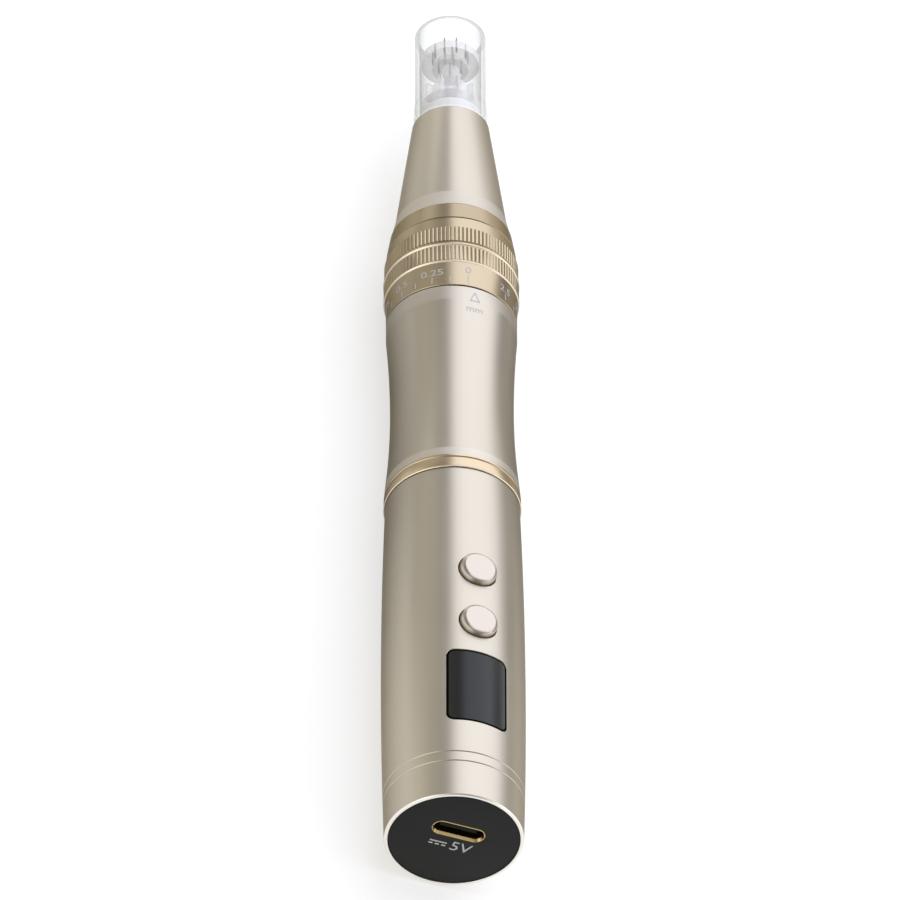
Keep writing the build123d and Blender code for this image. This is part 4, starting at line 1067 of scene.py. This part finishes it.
WORDS_RIGHT, SIGN_LEFT, DASH_STEP = 1.7, -2.2, 1.09
LINE_LENGTH, DASH_LENGTH, STROKE, STROKE_OFFSET = 2.9, 0.72, 0.28, 0.32
MARKS_BELOW, INK_SUNK = 1.62, 0.004


def end_marks():
    """Five volts, direct current, printed under the port."""
    volts = flat_words("5V", 2.05, stretch=1.12)
    bmesh.ops.translate(volts, vec=(WORDS_RIGHT, 0, 0), verts=volts.verts[:])
    parts = [volts, flat_bar(LINE_LENGTH, STROKE, SIGN_LEFT, STROKE_OFFSET)]
    for number in (-1, 0, 1):
        parts.append(flat_bar(DASH_LENGTH, STROKE, SIGN_LEFT + DASH_STEP * number, -STROKE_OFFSET))
    bm = quarter_turn(joined(parts))
    bmesh.ops.translate(bm, vec=(0, DISC_FACE - INK_SUNK, -MARKS_BELOW), verts=bm.verts[:])
    return bm


kept("end_marks", mesh_from(end_marks(), "end_marks"), end_print, "handle")


# Finishes of the nodes that stay

FINISHES = {
    port_black: ["usb_insulator"],
    port_brass: ["usb_contacts"],
    panel_black: ["display_module"],
    board_green: ["main_board"],
    chip_black: ["board_chips", "switch_lower", "switch_upper", "motor_cap"],
    frame_grey: ["display_frame", "chassis"],
    screw_steel: ["board_screws", "motor_screws", "motor_shaft", "carriage_pin", "follower_pin"],
    needle_steel: ["needles"],
    nickel: ["battery_tabs"],
    lead_red: ["battery_leads"],
    cell_wrap: ["battery_cell"],
    aluminium: ["joining_sleeve", "spine_tube", "carriage", "drive_rod"],
    motor_steel: ["motor_can"],
    acetal: ["barrel_cam"],
    bronze: ["guide_bush"],
    washer_black: ["thrust_washer"],
    rubber: ["friction_o_ring", "rod_seal"],
    silicone: ["neck_o_ring"],
    milky: ["cartridge_guide", "needle_plunger"],
    plate_white: ["needle_plate"],
}
for material, names in FINISHES.items():
    for name in names:
        mesh = nodes[name].data
        mesh.materials.clear()
        mesh.materials.append(material)


# Floor, light and camera

FLOOR_REACH = 4.0
GRIP_PLACE = -0.01  # metres along the pen
# The floor's glow in the metal's reflections is a painted reflection, dimmed beside the grip.
GRIP_FADE = (0.015, 0.065)  # distances from there, over which the floor turns from dim to bright
GRIP_GLOW = (0.35, 1.25)  # how bright it is within the first and past the second
FLOOR_GLOW = 0.60


def mirrored_glow(tree, glossy_ray):
    """How bright the floor glows in the metal's reflections, a painted reflection: dim for the grip and
    bright for both ends.

    A place on the floor is mirrored about as far behind it on the pen as it is beside it.
    """
    place, split = tree.nodes.new("ShaderNodeTexCoord"), tree.nodes.new("ShaderNodeSeparateXYZ")
    tree.links.new(place.outputs["Object"], split.inputs["Vector"])
    sideways = math_node(tree, "ABSOLUTE", split.outputs["X"])
    mirror_place = math_node(tree, "SUBTRACT", split.outputs["Y"], sideways)
    away = math_node(tree, "ABSOLUTE", math_node(tree, "SUBTRACT", mirror_place, GRIP_PLACE))
    dimming = tree.nodes.new("ShaderNodeMapRange")
    for socket, value in zip(("From Min", "From Max", "To Min", "To Max"), GRIP_FADE + GRIP_GLOW):
        dimming.inputs[socket].default_value = value
    tree.links.new(away, dimming.inputs["Value"])
    return math_node(tree, "MULTIPLY", dimming.outputs["Result"], glossy_ray)


def studio_floor():
    """Wide pale floor under the pen, which the camera and the clear plastic see as white, and the metal as a
    painted reflection, dim beside the grip and bright towards both ends.
    """
    bm = bmesh.new()
    bmesh.ops.create_circle(bm, cap_ends=True, radius=FLOOR_REACH, segments=96)
    mesh = bpy.data.meshes.new("floor")
    bm.to_mesh(mesh)
    bm.free()
    floor = bpy.data.objects.new("floor", mesh)
    bpy.context.scene.collection.objects.link(floor)
    material = finish("floor_paper", ((0.37, 0.367, 0.351), (0.385, 0.382, 0.366)), (0.85, 0.9), patch=3.0)
    tree = material.node_tree
    shader = tree.nodes["Principled BSDF"]
    rays = tree.nodes.new("ShaderNodeLightPath")
    mirrored = mirrored_glow(tree, rays.outputs["Is Glossy Ray"])
    seen = math_node(tree, "MAXIMUM", rays.outputs["Is Camera Ray"], mirrored)
    shown = math_node(tree, "MAXIMUM", seen, rays.outputs["Is Transmission Ray"])
    shader.inputs["Emission Color"].default_value = (1, 1, 1, 1)
    tree.links.new(math_node(tree, "MULTIPLY", shown, FLOOR_GLOW), shader.inputs["Emission Strength"])
    mesh.materials.append(material)


def soft_panel(name, place, target, size, radiance, tint):
    """Soft rectangular lamp that looks at a place, with its brightness as radiance."""
    light = bpy.data.lights.new(name, "AREA")
    light.shape = "RECTANGLE"
    light.size, light.size_y = size
    light.energy = radiance * math.pi * size[0] * size[1]
    light.color = tint
    lamp = bpy.data.objects.new(name, light)
    lamp.location = place
    lamp.rotation_euler = (Vector(target) - Vector(place)).to_track_quat("-Z", "Y").to_euler()
    bpy.context.scene.collection.objects.link(lamp)


def studio_world(tint, strength):
    """Plain even light from all round."""
    world = bpy.data.worlds.new("studio")
    world.use_nodes = True
    back = world.node_tree.nodes["Background"]
    back.inputs["Color"].default_value = tint
    back.inputs["Strength"].default_value = strength
    bpy.context.scene.world = world


# The camera stands a long way off beyond the tail, to the left of the pen and above it
CAMERA_TOWARDS = (-0.2672, -0.6665, 0.6960)
CAMERA_AIM = (0, -0.00384, 0.01167)
CAMERA_DISTANCE, CAMERA_SIDEWAYS, CAMERA_ROLL = 3.254, -0.000342, math.radians(0.27)
LENS_LENGTH, SENSOR_WIDTH, CLIP_END = 800.0, 36.0, 50.0


def photo_camera():
    """Camera at the photograph's angle, with a long lens."""
    towards = Vector(CAMERA_TOWARDS).normalized()
    forward = -towards
    up = Vector((0, 1, 0))
    up = (up - up.dot(forward) * forward).normalized()
    up = math.cos(CAMERA_ROLL) * up + math.sin(CAMERA_ROLL) * forward.cross(up)
    right = forward.cross(up)
    data = bpy.data.cameras.new("camera")
    data.lens, data.sensor_width, data.clip_end = LENS_LENGTH, SENSOR_WIDTH, CLIP_END
    camera = bpy.data.objects.new("camera", data)
    place = Vector(CAMERA_AIM) + towards * CAMERA_DISTANCE + right * CAMERA_SIDEWAYS
    turn = Matrix((right, up, -forward)).transposed().to_4x4()
    camera.matrix_world = Matrix.Translation(place) @ turn
    bpy.context.scene.collection.objects.link(camera)
    bpy.context.scene.camera = camera


COOL, FAINTLY_COOL, WARM = (0.96, 1.0, 1.19), (0.98, 1.0, 1.08), (1.0, 0.967, 0.89)
FAINTLY_WARM, NEARLY_WHITE = (1.0, 0.97, 0.93), (1.0, 0.99, 0.97)
NEAR_TAIL, ABOVE_PEN = (0.0, -0.10, 0.03), (0.0, 0.0, 0.15)
WORLD_TINT, WORLD_STRENGTH = (1.0, 0.98, 0.93, 1.0), 0.37

# Each panel: where it stands, what it looks at, its size, its radiance and its tint
PANELS = {
    "overhead_softbox": ((0.555, 1.15, 0.80), (0.555, 1.15, 0.0), (1.72, 2.90), 1.85, COOL),
    "back_panel": ((0.35, 2.80, 0.50), (0.35, 0.0, 0.50), (4.5, 0.94), 1.30, FAINTLY_COOL),
    "left_fill": ((-1.528, 0.779, 0.693), (0.0, 0.0, 0.0), (2.0, 1.2), 0.38, WARM),
    "left_near_panel": ((-0.27, 0.01, 0.06), NEAR_TAIL, (0.22, 0.12), 0.56, FAINTLY_WARM),
    "right_near_panel": ((0.27, -0.01, 0.04), NEAR_TAIL, (0.22, 0.08), 0.48, FAINTLY_WARM),
    "left_rear_panel": ((-1.45, -1.0, 0.60), ABOVE_PEN, (1.7, 1.1), 1.7, NEARLY_WHITE),
    "right_rear_panel": ((1.45, -1.0, 0.60), ABOVE_PEN, (1.7, 1.1), 1.5, NEARLY_WHITE),
}

studio_floor()
for name, panel in PANELS.items():
    soft_panel(name, *panel)
studio_world(WORLD_TINT, WORLD_STRENGTH)
photo_camera()
bpy.context.scene.view_settings.view_transform = "Standard"
